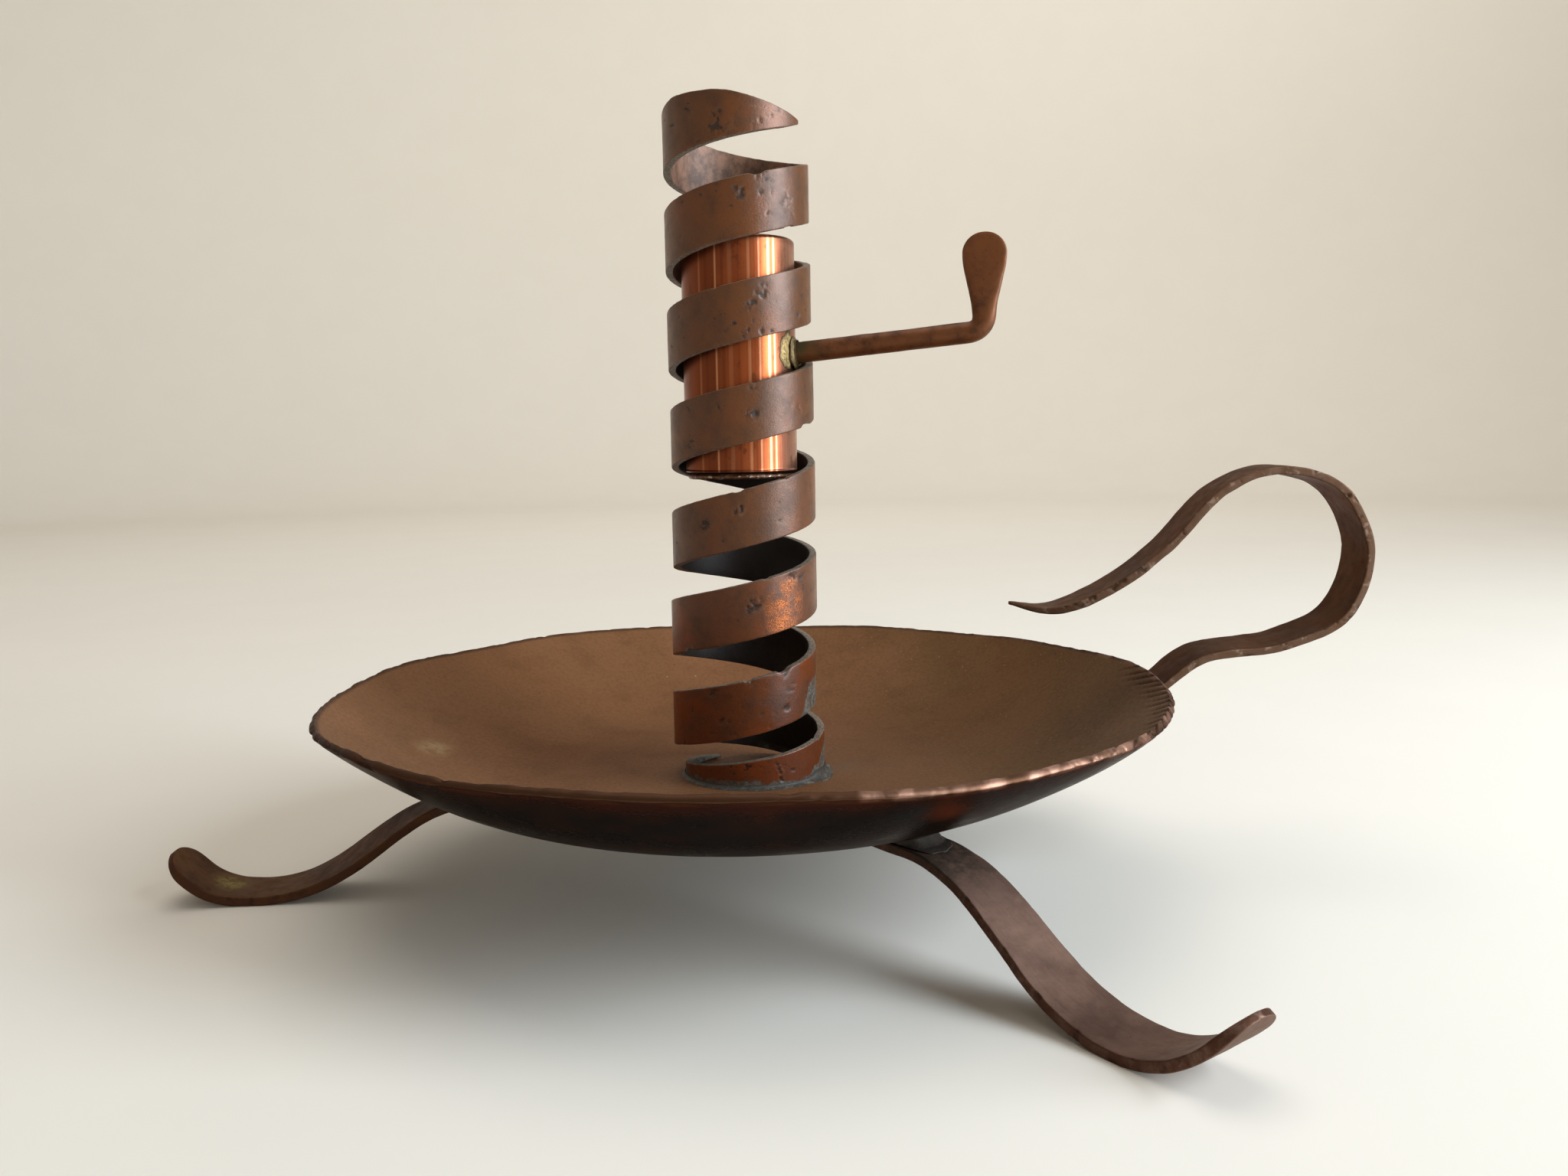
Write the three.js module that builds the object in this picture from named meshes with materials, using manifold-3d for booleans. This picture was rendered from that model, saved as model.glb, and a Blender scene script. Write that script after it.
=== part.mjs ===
// Copper candlestick with a screw lift: a slotted copper tube stands on a beaten drip dish,
// and a sleeve with a side lever climbs inside it as the lever turns along the helical slot.
// Units are millimetres, +Z is up, and the table is z = 0.
import * as THREE from 'three';
import { mergeVertices } from 'three/addons/utils/BufferGeometryUtils.js';
import Module from 'manifold-3d';

const wasm = await Module();
wasm.setup();

// Clearances
const seatGap = 0.3;
const rideGap = 0.5;
const sleevePlay = 1.5;
const landHeight = 0.5;

// Drip dish
const rimRadius = 83;
const rimHeight = 40;
const dishDepth = 18.4;
const dishWall = 1.6;
const dishFloorRadius = 44;
const flareHold = 12;
const lipHold = 9.5;
const lipRise = 8;
const rimBeaten = 19;
const rimWaveHeight = 0.45;
const rimWaveOut = 0.35;

// Waves of the beaten rim, each as its count round the rim, its phase and its share of the wave's size
const rimLiftWaves = [[3, 1.1, 1], [7, 0.4, 0.5], [12, 0, 0.35]];
const rimSwellWaves = [[2, 2.3, 1], [9, 1.7, 0.5]];

// Helical tube; turns are counted from +X
const tubeDiameter = 28;
const tubeWall = 1.5;
const tubeHeight = 130.1;
const bandHeight = 11;
const slotHeight = 7.8;
const firstTurn = 0.346;
const evenTurn = 2;
const evenHeight = 25.3;
const squareRun = 10.2;
const tipRun = 19.4;
const tipKnee = 0.16;
const tipEase = 0.12;

// Lift sleeve, its seat and its lever
const sleeveWall = 1;
const sleeveLength = 44.4;
const sleeveEdgeRound = 0.4;
const sleeveRimRound = 0.85;
const seatThickness = 1;
const seatInset = 0.3;
const leverOnSleeve = 22.7;
const leverTurn = 4.953;
const leverDiameter = 4.1;
const leverRise = 4.5;
const leverReach = 47.7;
const leverBend = 4;
const paddleHeight = 18;
const paddleWidth = 8.3;
const paddleRound = 3.7;
const paddleThickness = 1.8;
const paddleNeckHeight = 7;
const paddleNeckWidth = 5.2;
const paddleNeckThickness = 2.7;
const paddleTipWidth = 1.4;
const paddleTipThickness = 0.9;
const brazeWall = 1.05;
const brazeLand = 0.2;

// Strap legs, each bent by hand to its own toe and rolled a little on the way down
const legs = {
  front: { azimuth: -55, toeRun: 19, toeHeight: 12.4, roll: 0 },
  left: { azimuth: 183, toeRun: 16.2, toeHeight: 9.8, roll: 11 },
  back: { azimuth: 64, toeRun: 17.6, toeHeight: 11, roll: 4 },
};
const strapThickness = 1.9;
const strapChamfer = 0.4;
const legNeckWidth = 10;
const legToeWidth = 12.6;
const legLap = 10;
const legLevel = 8;
const legDropHold = 20;
const footOut = 14.4;
const footWear = 0.12;
const toeHold = 7;
const toeTipHold = 4.9;
const toeTipRise = 7.4;
const toeRound = 5;
const toeTipWidth = 2;

// Strap handle; its bends are points beyond and above the rim, from the lip round to the tip
const handleAzimuth = 1;
const handleWidth = 10.6;
const handleTwist = 6;
const handleTwistRun = 72;
const handleSeatShare = 0.82;
const handleLipEase = 0.4;
const handleLipDrop = 1.9;
const handleBends = [
  [9, 3.4], [26, 5.9], [38.6, 11.8], [43, 24.8], [36.5, 37.2], [24, 40.9],
  [13.2, 37.3], [1.5, 25.6], [-10, 17.5], [-21, 13.6], [-29.4, 14.9],
];
const handleTaper = 17;
const handleLeafFullness = 0.8;
const handleTipWidth = 1.2;
const handleTipThickness = 0.8;

// Solder
const solderRun = 2.4;
const solderRise = 2;
const solderEndShare = 0.55;
const solderBelly = 0.5;
const legSolderSetback = 4.5;
const legSolderLength = 5.5;
const legSolderToe = 6.5;
const legSolderWidth = 8.6;
const handleSolderWidth = 9;
const handleSolderRun = 2.6;
const handleSolderLift = 1.6;
const handleSolderCrown = 0.4;

// Faceting
const dishSides = 72;
const flareSteps = 11;
const bandSteps = 28;
const sleeveSides = 48;
const rimRoundSteps = 3;
const strapSteps = 34;
const toeSteps = 6;
const handleSteps = 56;
const rodSides = 14;
const leverSteps = 34;
const solderSteps = 40;

// Levels, radii and turns that follow from the sizes above
const dishFloor = rimHeight - dishDepth;
const dishUnderside = dishFloor - dishWall;
const tubeFoot = dishFloor + seatGap;
const tubeRadius = tubeDiameter / 2;
const tubeInner = tubeRadius - tubeWall;
const pitch = bandHeight + slotHeight;
const cutTurn = evenTurn + (tubeHeight - evenHeight) / pitch;
const crestTurn = cutTurn + squareRun / (Math.PI * tubeDiameter);
const tipTurn = crestTurn + tipRun / (Math.PI * tubeDiameter);
const sleeveRadius = tubeInner - sleevePlay;
const leverRadius = leverDiameter / 2;
const leverTilt = THREE.MathUtils.degToRad(leverRise);
const legTop = dishUnderside - seatGap;
const legCentre = legTop - strapThickness / 2;
const dropStart = dishFloorRadius + legLevel;
const foot = rimRadius + footOut;

const copper = (color, roughness) => new THREE.MeshStandardMaterial({ color, roughness, metalness: 1 });
const patinated = copper(0x5a3d24, 0.5);
const polished = copper(0xb4622f, 0.35);
const worn = copper(0x6e4a2e, 0.45);
const solder = copper(0x5f5d58, 0.75);
const braze = copper(0xa8883c, 0.5);

// The material is shared by pieces with the same finish; each piece is one named mesh.
function piece(name, geometry, material) {
  const mesh = new THREE.Mesh(geometry, material);
  mesh.name = name;
  return mesh;
}

// Signed volume of an indexed triangle skin; it is negative when the faces point in.
function signedVolume(points, index) {
  const [a, b, c] = [new THREE.Vector3(), new THREE.Vector3(), new THREE.Vector3()];
  let volume = 0;
  for (let i = 0; i < index.length; i += 3) {
    a.copy(points[index[i]]);
    b.copy(points[index[i + 1]]);
    c.copy(points[index[i + 2]]);
    volume += a.dot(b.cross(c)) / 6;
  }
  return volume;
}

// Skins closed convex sections of equal point count, in order, and closes both ends.
function loft(sections) {
  const count = sections[0].length;
  const points = sections.flat();
  const index = [];
  for (let s = 0; s + 1 < sections.length; s += 1) {
    for (let i = 0; i < count; i += 1) {
      const a = s * count + i;
      const b = s * count + ((i + 1) % count);
      index.push(a, b, b + count, a, b + count, a + count);
    }
  }
  const last = (sections.length - 1) * count;
  for (let i = 1; i + 1 < count; i += 1) {
    index.push(0, i + 1, i);
    index.push(last, last + i, last + i + 1);
  }
  if (signedVolume(points, index) < 0) {
    index.reverse();
  }
  const geometry = new THREE.BufferGeometry().setFromPoints(points);
  geometry.setIndex(index);
  return geometry;
}

// A closed mesh as a solid that can be cut.
function solidOf(geometry) {
  const bare = geometry.clone();
  bare.deleteAttribute('normal');
  bare.deleteAttribute('uv');
  const merged = mergeVertices(bare, 1e-5);
  return new wasm.Manifold(new wasm.Mesh({
    numProp: 3,
    vertProperties: new Float32Array(merged.attributes.position.array),
    triVerts: new Uint32Array(merged.index.array),
  }));
}

function geometryOf(solid) {
  const mesh = solid.getMesh();
  const geometry = new THREE.BufferGeometry();
  geometry.setAttribute('position', new THREE.BufferAttribute(mesh.vertProperties, 3));
  geometry.setIndex(Array.from(mesh.triVerts));
  return geometry;
}

// Middle line of the dish's flare, from the edge of the flat floor out to the lip.
function flareCurve() {
  const floorLevel = dishFloor - dishWall / 2;
  const lipLevel = rimHeight - dishWall / 2;
  return new THREE.CubicBezierCurve(
    new THREE.Vector2(dishFloorRadius, floorLevel),
    new THREE.Vector2(dishFloorRadius + flareHold, floorLevel),
    new THREE.Vector2(rimRadius - lipHold, lipLevel - lipRise),
    new THREE.Vector2(rimRadius - dishWall / 2, lipLevel),
  );
}

// Point of the flare's middle line at a share of the curve, and its normal into the dish.
function flareAt(share) {
  const curve = flareCurve();
  const along = curve.getTangent(share);
  return { point: curve.getPoint(share), normal: new THREE.Vector2(-along.y, along.x) };
}

// One skin of the dish wall: side is +0.5 for the inside and -0.5 for the outside.
function dishSkin(side) {
  return Array.from({ length: flareSteps + 1 }, (_, i) => {
    const { point, normal } = flareAt(i / flareSteps);
    return point.addScaledVector(normal, side * dishWall);
  });
}

// Height of the dish's outside at a radius on its flare.
function undersideAt(radius) {
  const skin = dishSkin(-0.5);
  const next = skin.findIndex((point) => point.x > radius);
  const [low, high] = [skin[next - 1], skin[next]];
  const share = (radius - low.x) / (high.x - low.x);
  return THREE.MathUtils.lerp(low.y, high.y, share);
}

const waveSum = (waves, angle) =>
  waves.reduce((sum, [count, phase, share]) => sum + share * Math.sin(count * angle + phase), 0);

// Uneven rim of a hand-beaten dish; the wave dies out down the flare.
function beatRim(geometry) {
  const position = geometry.attributes.position;
  const point = new THREE.Vector3();
  for (let i = 0; i < position.count; i += 1) {
    point.fromBufferAttribute(position, i);
    const radius = Math.hypot(point.x, point.y);
    const angle = Math.atan2(point.y, point.x);
    const share = THREE.MathUtils.smoothstep(radius, rimRadius - rimBeaten, rimRadius);
    const grown = radius + share * rimWaveOut * waveSum(rimSwellWaves, angle);
    const turn = radius > 0 ? grown / radius : 1;
    const lift = share * rimWaveHeight * waveSum(rimLiftWaves, angle);
    position.setXYZ(i, point.x * turn, point.y * turn, point.z + lift);
  }
  return geometry;
}

function dripDish() {
  const inside = dishSkin(0.5);
  const outside = dishSkin(-0.5);
  const lip = flareAt(1);
  const lipEdge = lip.point.add(new THREE.Vector2(lip.normal.y, -lip.normal.x).multiplyScalar(dishWall / 4));
  const profile = [
    new THREE.Vector2(0, dishUnderside),
    ...outside,
    lipEdge,
    ...inside.reverse(),
    new THREE.Vector2(0, dishFloor),
  ];
  const bowl = new THREE.LatheGeometry(profile, dishSides).rotateX(Math.PI / 2);
  return beatRim(closedLathe(bowl));
}

// Merges a lathe's seam and poles, drops its empty triangles and turns its faces out.
function closedLathe(geometry) {
  const bare = geometry.clone();
  bare.deleteAttribute('normal');
  bare.deleteAttribute('uv');
  const merged = mergeVertices(bare, 1e-4);
  const source = merged.index.array;
  const index = [];
  for (let i = 0; i < source.length; i += 3) {
    const [a, b, c] = [source[i], source[i + 1], source[i + 2]];
    if (a !== b && b !== c && c !== a) {
      index.push(a, b, c);
    }
  }
  const position = merged.attributes.position;
  const points = Array.from({ length: position.count }, (_, i) =>
    new THREE.Vector3().fromBufferAttribute(position, i));
  if (signedVolume(points, index) < 0) {
    index.reverse();
  }
  merged.setIndex(index);
  return merged;
}

// Height of the helical band's upper edge. Above evenTurn it climbs one pitch a turn; below, the base
// coil is closed up so that the edge leaves the dish at firstTurn.
function bandTop(turn) {
  const closed = evenTurn - firstTurn;
  const closing = (pitch * closed - (evenHeight - landHeight)) / (closed * closed);
  const low = Math.max(0, evenTurn - turn);
  return tubeFoot + evenHeight + pitch * (turn - evenTurn) + closing * low * low;
}

// How far a filed edge has fallen at a share of its run: nothing at the start, a soft knee, then straight.
const filed = (share) => Math.hypot(share - tipKnee, tipEase) + share - Math.hypot(tipKnee, tipEase);

// The tube's upper end is square up to the crest, then filed down to the slot's mouth.
function tubeTop(turn) {
  const crest = tubeFoot + tubeHeight;
  const tip = bandTop(tipTurn) - bandHeight + landHeight;
  const share = THREE.MathUtils.clamp((turn - crestTurn) / (tipTurn - crestTurn), 0, 1);
  return crest - (crest - tip) * filed(share) / filed(1);
}

// The copper tube left between the turns of the helical slot: one band from foot to tip.
function spiralTube() {
  const steps = Math.ceil((tipTurn - firstTurn) * bandSteps);
  const sections = [];
  for (let i = 0; i <= steps; i += 1) {
    const turn = THREE.MathUtils.lerp(firstTurn, tipTurn, i / steps);
    const angle = turn * 2 * Math.PI;
    const low = Math.max(tubeFoot, bandTop(turn) - bandHeight);
    const high = Math.max(low + landHeight, Math.min(bandTop(turn), tubeTop(turn)));
    const corner = (radius, height) =>
      new THREE.Vector3(radius * Math.cos(angle), radius * Math.sin(angle), height);
    sections.push([
      corner(tubeInner, low),
      corner(tubeRadius, low),
      corner(tubeRadius, high),
      corner(tubeInner, high),
    ]);
  }
  return loft(sections);
}

// Fillet of solder outside the tube's foot, as far round as the band stands on the dish.
function spiralSolder() {
  const liftOff = (firstTurn + evenTurn) / 2;
  const inner = tubeRadius + seatGap;
  const sections = [];
  for (let i = 0; i <= solderSteps; i += 1) {
    const share = i / solderSteps;
    const angle = THREE.MathUtils.lerp(firstTurn, liftOff, share) * 2 * Math.PI;
    const swell = THREE.MathUtils.lerp(solderEndShare, 1, Math.sqrt(Math.sin(Math.PI * share)));
    const run = solderRun * swell;
    const rise = solderRise * swell;
    const corner = (radius, height) =>
      new THREE.Vector3(radius * Math.cos(angle), radius * Math.sin(angle), height);
    sections.push([
      corner(inner, tubeFoot),
      corner(inner + run, tubeFoot),
      corner(inner + run * solderBelly, tubeFoot + rise * solderBelly),
      corner(inner, tubeFoot + rise),
    ]);
  }
  return loft(sections);
}

const evenShares = (steps) => Array.from({ length: steps + 1 }, (_, i) => i / steps);

// A flat strap bent along a line in the XZ plane, with a section at each share of its length, whose shape
// shapeAt gives.
function strap(line, shapeAt, shares) {
  return loft(shares.map((share) => {
    const { width, thickness, twist } = shapeAt(share);
    const centre = line.getPoint(share);
    const along = line.getTangent(share);
    const up = new THREE.Vector3(-along.z, 0, along.x).applyAxisAngle(along, twist);
    const side = new THREE.Vector3(0, 1, 0).applyAxisAngle(along, twist);
    const half = width / 2;
    const thick = thickness / 2;
    const cut = Math.min(strapChamfer, half / 2, thick / 2);
    const at = (across, rise) => centre.clone().addScaledVector(side, across).addScaledVector(up, rise);
    return [
      at(half, -thick + cut),
      at(half, thick - cut),
      at(half - cut, thick),
      at(-half + cut, thick),
      at(-half, thick - cut),
      at(-half, -thick + cut),
      at(-half + cut, -thick),
      at(half - cut, -thick),
    ];
  }));
}

const inPlane = (radius, height) => new THREE.Vector3(radius, 0, height);

// Leg line: level under the dish, an S down to the table and a curled-up toe.
function legLine({ toeRun, toeHeight }) {
  const contact = strapThickness / 2 - footWear;
  const line = new THREE.CurvePath();
  line.add(new THREE.LineCurve3(inPlane(dishFloorRadius - legLap, legCentre), inPlane(dropStart, legCentre)));
  line.add(new THREE.CubicBezierCurve3(
    inPlane(dropStart, legCentre),
    inPlane(dropStart + legDropHold, legCentre),
    inPlane(foot - legDropHold, contact),
    inPlane(foot, contact),
  ));
  line.add(new THREE.CubicBezierCurve3(
    inPlane(foot, contact),
    inPlane(foot + toeHold, contact),
    inPlane(foot + toeRun - toeTipHold, toeHeight - toeTipRise),
    inPlane(foot + toeRun, toeHeight),
  ));
  return line;
}

// One leg, widening down to a rounded toe and filed flat where it stands on the table. Its sections draw
// together round the toe.
function leg(bend) {
  const line = legLine(bend);
  const [level, landed, length] = line.getCurveLengths();
  const toe = toeRound / length;
  const shares = [
    ...evenShares(strapSteps).map((share) => share * (1 - toe)),
    ...evenShares(toeSteps).slice(1).map((share) => 1 - toe + toe * Math.sin(share * Math.PI / 2)),
  ];
  const shape = (share) => {
    const down = THREE.MathUtils.clamp((share * length - level) / (landed - level), 0, 1);
    const spread = THREE.MathUtils.lerp(legNeckWidth, legToeWidth, THREE.MathUtils.smoothstep(down, 0, 1));
    const past = THREE.MathUtils.clamp(1 - (1 - share) * length / toeRound, 0, 1);
    return {
      width: Math.max(toeTipWidth, spread * Math.sqrt(1 - past * past)),
      thickness: strapThickness,
      twist: THREE.MathUtils.degToRad(bend.roll) * Math.sin(Math.PI * down) ** 2,
    };
  };
  const bent = solidOf(strap(line, shape, shares));
  const span = 4 * (foot + bend.toeRun);
  const table = new THREE.BoxGeometry(span, span, legTop).translate(0, 0, -legTop / 2);
  return geometryOf(bent.subtract(solidOf(table)));
}

// Height of the leg's upper face at a radius under the flare of the dish.
function legFaceAt(line, radius) {
  const samples = line.getPoints(strapSteps);
  const next = samples.findIndex((point) => point.x > radius);
  const [low, high] = [samples[next - 1], samples[next]];
  const share = (radius - low.x) / (high.x - low.x);
  return THREE.MathUtils.lerp(low.z, high.z, share) + strapThickness / 2;
}

// Solder wedge between the leg's upper face and the flare of the dish, sloping down to a toe.
function legSolder(bend) {
  const line = legLine(bend);
  const start = dishFloorRadius + legSolderSetback;
  const end = start + legSolderLength;
  const toe = end + legSolderToe;
  const radii = [start, (start + end) / 2, end];
  const faces = [toe, (toe + end) / 2, ...radii.slice().reverse()];
  const outline = new THREE.Shape([
    ...radii.map((radius) => new THREE.Vector2(radius, undersideAt(radius) - seatGap)),
    new THREE.Vector2(toe, legFaceAt(line, toe) + 2 * seatGap),
    ...faces.map((radius) => new THREE.Vector2(radius, legFaceAt(line, radius) + seatGap)),
  ]);
  return acrossPlane(outline, legSolderWidth);
}

// Extrudes an outline of (radius, height) points equally to both sides of the XZ plane.
function acrossPlane(outline, width) {
  const geometry = new THREE.ExtrudeGeometry(outline, { depth: width, bevelEnabled: false });
  return geometry.rotateX(Math.PI / 2).translate(0, width / 2, 0);
}

// Place on the outside of the dish wall where the handle's lower end is soldered.
function handleSeat(clearance) {
  const { point, normal } = flareAt(handleSeatShare);
  return { place: point.addScaledVector(normal, -dishWall / 2 - clearance), normal };
}

// Handle line: up the outside of the dish wall, out, round the finger loop and back to the tip.
function handleLine() {
  const clear = strapThickness / 2 + seatGap;
  const { place } = handleSeat(clear);
  const swell = rimWaveOut * rimSwellWaves.reduce((sum, [, , share]) => sum + share, 0);
  const points = [
    inPlane(place.x, place.y),
    inPlane(rimRadius - dishWall / 2 + clear + swell + handleLipEase, rimHeight - handleLipDrop),
    ...handleBends.map(([out, up]) => inPlane(rimRadius + out, rimHeight + up)),
  ];
  return new THREE.CatmullRomCurve3(points, false, 'centripetal');
}

// The handle's strap, slightly twisted where it leaves the dish and drawn out to a leaf point.
function handle() {
  const line = handleLine();
  const even = {
    getPoint: (share) => line.getPointAt(share),
    getTangent: (share) => line.getTangentAt(share),
  };
  const length = line.getLength();
  const shape = (share) => {
    const left = Math.min(1, (1 - share) * length / handleTaper);
    const leaf = Math.sin(left * Math.PI / 2) ** handleLeafFullness;
    const turn = Math.sin(Math.PI * Math.min(1, share * length / handleTwistRun));
    return {
      width: THREE.MathUtils.lerp(handleTipWidth, handleWidth, leaf),
      thickness: THREE.MathUtils.lerp(handleTipThickness, strapThickness, leaf),
      twist: THREE.MathUtils.degToRad(-handleTwist * turn),
    };
  };
  return strap(even, shape, evenShares(handleSteps));
}

// Solder bead in the corner between the handle's lower end and the dish wall.
function handleSolder() {
  const { place, normal } = handleSeat(seatGap);
  const down = new THREE.Vector2(-normal.y, normal.x);
  const at = (run, lift) => place.clone().addScaledVector(down, seatGap + run).addScaledVector(normal, -lift);
  const outline = new THREE.Shape([
    at(0, 0),
    at(handleSolderRun, handleSolderCrown),
    at(handleSolderCrown, handleSolderLift),
    at(0, handleSolderLift),
  ]);
  return acrossPlane(outline, handleSolderWidth);
}

// Height of the lever's centre where it leaves the sleeve, riding on the band's upper edge.
function leverRoot() {
  const slope = pitch / (2 * Math.PI * tubeInner);
  const onBand = leverRadius * Math.hypot(1, slope);
  const outward = ((tubeInner + tubeRadius) / 2 - sleeveRadius) * Math.tan(leverTilt);
  return bandTop(leverTurn) + onBand + rideGap - outward;
}

const sleeveFoot = leverRoot() - leverOnSleeve;

// Sleeve, cut from pipe, with its upper rim rolled in by the pipe cutter.
function liftSleeve() {
  const inner = sleeveRadius - sleeveWall;
  const top = sleeveFoot + sleeveLength;
  const round = sleeveEdgeRound;
  const shoulder = sleeveRimRound;
  const rim = evenShares(rimRoundSteps).map((share) => {
    const angle = share * Math.PI / 2;
    return [sleeveRadius - shoulder * (1 - Math.cos(angle)), top - shoulder * (1 - Math.sin(angle))];
  });
  const profile = [
    [inner, sleeveFoot],
    [sleeveRadius - round, sleeveFoot],
    [sleeveRadius, sleeveFoot + round],
    ...rim,
    [inner, top],
    [inner, sleeveFoot],
  ].map(([radius, height]) => new THREE.Vector2(radius, height));
  return closedLathe(new THREE.LatheGeometry(profile, sleeveSides).rotateX(Math.PI / 2));
}

// Disc that closes the sleeve's lower end and carries the candle. It is flat as far as the sleeve's bore
// reaches and thins from there to its edge.
function seatDisc() {
  const top = sleeveFoot - seatGap;
  const foot = top - seatThickness;
  const edge = sleeveRadius - seatInset;
  const face = sleeveRadius - sleeveWall - seatGap;
  const bevel = seatThickness / 3;
  const profile = [
    [0, foot],
    [edge - bevel, foot],
    [edge, foot + bevel],
    [edge, top - bevel],
    [face, top],
    [0, top],
  ].map(([radius, height]) => new THREE.Vector2(radius, height));
  return closedLathe(new THREE.LatheGeometry(profile, sleeveSides).rotateX(Math.PI / 2));
}

// Lever line: out through the slot on a slight rise, then bent up into the paddle.
function leverLine() {
  const root = sleeveRadius + seatGap;
  const bendStart = leverReach - leverBend;
  const heightAt = (radius) => leverRoot() + (radius - sleeveRadius) * Math.tan(leverTilt);
  const corner = heightAt(leverReach);
  const line = new THREE.CurvePath();
  line.add(new THREE.LineCurve3(inPlane(root, heightAt(root)), inPlane(bendStart, heightAt(bendStart))));
  line.add(new THREE.QuadraticBezierCurve3(
    inPlane(bendStart, heightAt(bendStart)),
    inPlane(leverReach, corner),
    inPlane(leverReach, corner + leverBend),
  ));
  line.add(new THREE.LineCurve3(
    inPlane(leverReach, corner + leverBend),
    inPlane(leverReach, corner + paddleHeight),
  ));
  return line;
}

// Width and thickness of the lever: round rod, a slight neck, then a flattened paddle.
function leverSize(above) {
  const widest = paddleHeight - paddleRound;
  if (above <= paddleNeckHeight) {
    const share = Math.max(0, above / paddleNeckHeight);
    return [
      THREE.MathUtils.lerp(leverDiameter, paddleNeckWidth, share),
      THREE.MathUtils.lerp(leverDiameter, paddleNeckThickness, share),
    ];
  }
  if (above <= widest) {
    const share = THREE.MathUtils.smoothstep(above, paddleNeckHeight, widest);
    return [
      THREE.MathUtils.lerp(paddleNeckWidth, paddleWidth, share),
      THREE.MathUtils.lerp(paddleNeckThickness, paddleThickness, share),
    ];
  }
  const share = Math.min(1, (above - widest) / paddleRound);
  const round = Math.sqrt(1 - share * share);
  return [
    Math.max(paddleTipWidth, paddleWidth * round),
    Math.max(paddleTipThickness, paddleThickness * round),
  ];
}

function lever() {
  const line = leverLine();
  const corner = leverRoot() + (leverReach - sleeveRadius) * Math.tan(leverTilt);
  const [rod, , length] = line.getCurveLengths();
  const shares = [0, rod / length / 2];
  for (let i = 0; i <= leverSteps; i += 1) {
    shares.push(THREE.MathUtils.lerp(rod / length, 1, i / leverSteps));
  }
  const sections = shares.map((share) => {
    const centre = line.getPoint(share);
    const along = line.getTangent(share);
    const across = new THREE.Vector3(-along.z, 0, along.x);
    const [width, thickness] = leverSize(share * length > rod ? centre.z - corner : 0);
    return Array.from({ length: rodSides }, (_, i) => {
      const angle = (i / rodSides) * 2 * Math.PI;
      return centre.clone()
        .addScaledVector(across, Math.cos(angle) * width / 2)
        .add(new THREE.Vector3(0, Math.sin(angle) * thickness / 2, 0));
    });
  });
  return loft(sections);
}

// Braze collar round the lever where it meets the sleeve.
function leverBraze() {
  const bore = leverRadius + seatGap;
  const near = sleeveRadius + seatGap;
  const far = tubeInner - rideGap;
  const profile = [
    [bore, near],
    [bore + brazeWall, near],
    [bore + brazeLand, far],
    [bore, far],
    [bore, near],
  ].map(([radius, out]) => new THREE.Vector2(radius, out));
  const collar = closedLathe(new THREE.LatheGeometry(profile, 2 * rodSides));
  collar.rotateZ(-Math.PI / 2 + leverTilt);
  collar.rotateX(Math.PI / 2);
  return collar.translate(0, 0, leverRoot() - sleeveRadius * Math.tan(leverTilt));
}

function turned(mesh, degrees) {
  mesh.rotation.z = THREE.MathUtils.degToRad(degrees);
  return mesh;
}

function candlestick() {
  const whole = new THREE.Group();
  const holder = new THREE.Group();
  holder.add(piece('drip_dish', dripDish(), patinated));
  holder.add(piece('spiral_tube', spiralTube(), worn));
  holder.add(piece('spiral_solder', spiralSolder(), solder));
  holder.add(turned(piece('handle', handle(), patinated), handleAzimuth));
  holder.add(turned(piece('handle_solder', handleSolder(), solder), handleAzimuth));
  for (const [side, bend] of Object.entries(legs)) {
    holder.add(turned(piece(`leg_${side}`, leg(bend), patinated), bend.azimuth));
    holder.add(turned(piece(`leg_${side}_solder`, legSolder(bend), solder), bend.azimuth));
  }
  const lift = new THREE.Group();
  lift.add(piece('lift_sleeve', liftSleeve(), polished));
  lift.add(piece('seat_disc', seatDisc(), polished));
  lift.add(piece('lever', lever(), worn));
  lift.add(piece('lever_braze', leverBraze(), braze));
  lift.rotation.z = leverTurn * 2 * Math.PI;
  whole.add(holder, lift);
  return centred(whole);
}

// Puts the origin on the table below the middle of the whole object.
function centred(group) {
  group.updateMatrixWorld(true);
  const middle = new THREE.Box3().setFromObject(group, true).getCenter(new THREE.Vector3());
  group.position.set(-middle.x, -middle.y, 0);
  return group;
}

export default candlestick();
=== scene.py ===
"""Copper candlestick with a screw lift, dressed over its CAD frame and laid out as a Blender add-on.

Lengths are metres and angles are radians unless a name says otherwise. Every piece is a grid of points
worked out with numpy from the sizes in the property groups, and stands where its CAD node stands.
"""

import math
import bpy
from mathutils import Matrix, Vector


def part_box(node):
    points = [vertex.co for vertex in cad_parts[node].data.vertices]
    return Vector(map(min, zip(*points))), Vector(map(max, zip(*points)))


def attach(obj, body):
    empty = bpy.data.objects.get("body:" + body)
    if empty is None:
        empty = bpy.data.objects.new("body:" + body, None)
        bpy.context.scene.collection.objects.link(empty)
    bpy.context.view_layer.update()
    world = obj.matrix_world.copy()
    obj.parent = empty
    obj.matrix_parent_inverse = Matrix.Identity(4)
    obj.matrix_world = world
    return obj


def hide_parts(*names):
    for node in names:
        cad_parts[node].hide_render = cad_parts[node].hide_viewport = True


bl_info = {
    "name": "Copper Candlestick",
    "version": (1, 0, 0),
    "blender": (4, 5, 0),
    "location": "3D View > Sidebar > Candlestick",
    "description": "Builds a spiral copper candlestick whose candle climbs as its lever is turned",
    "category": "Add Mesh",
}

import bpy
import numpy as np
from mathutils import Matrix, Vector

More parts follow.
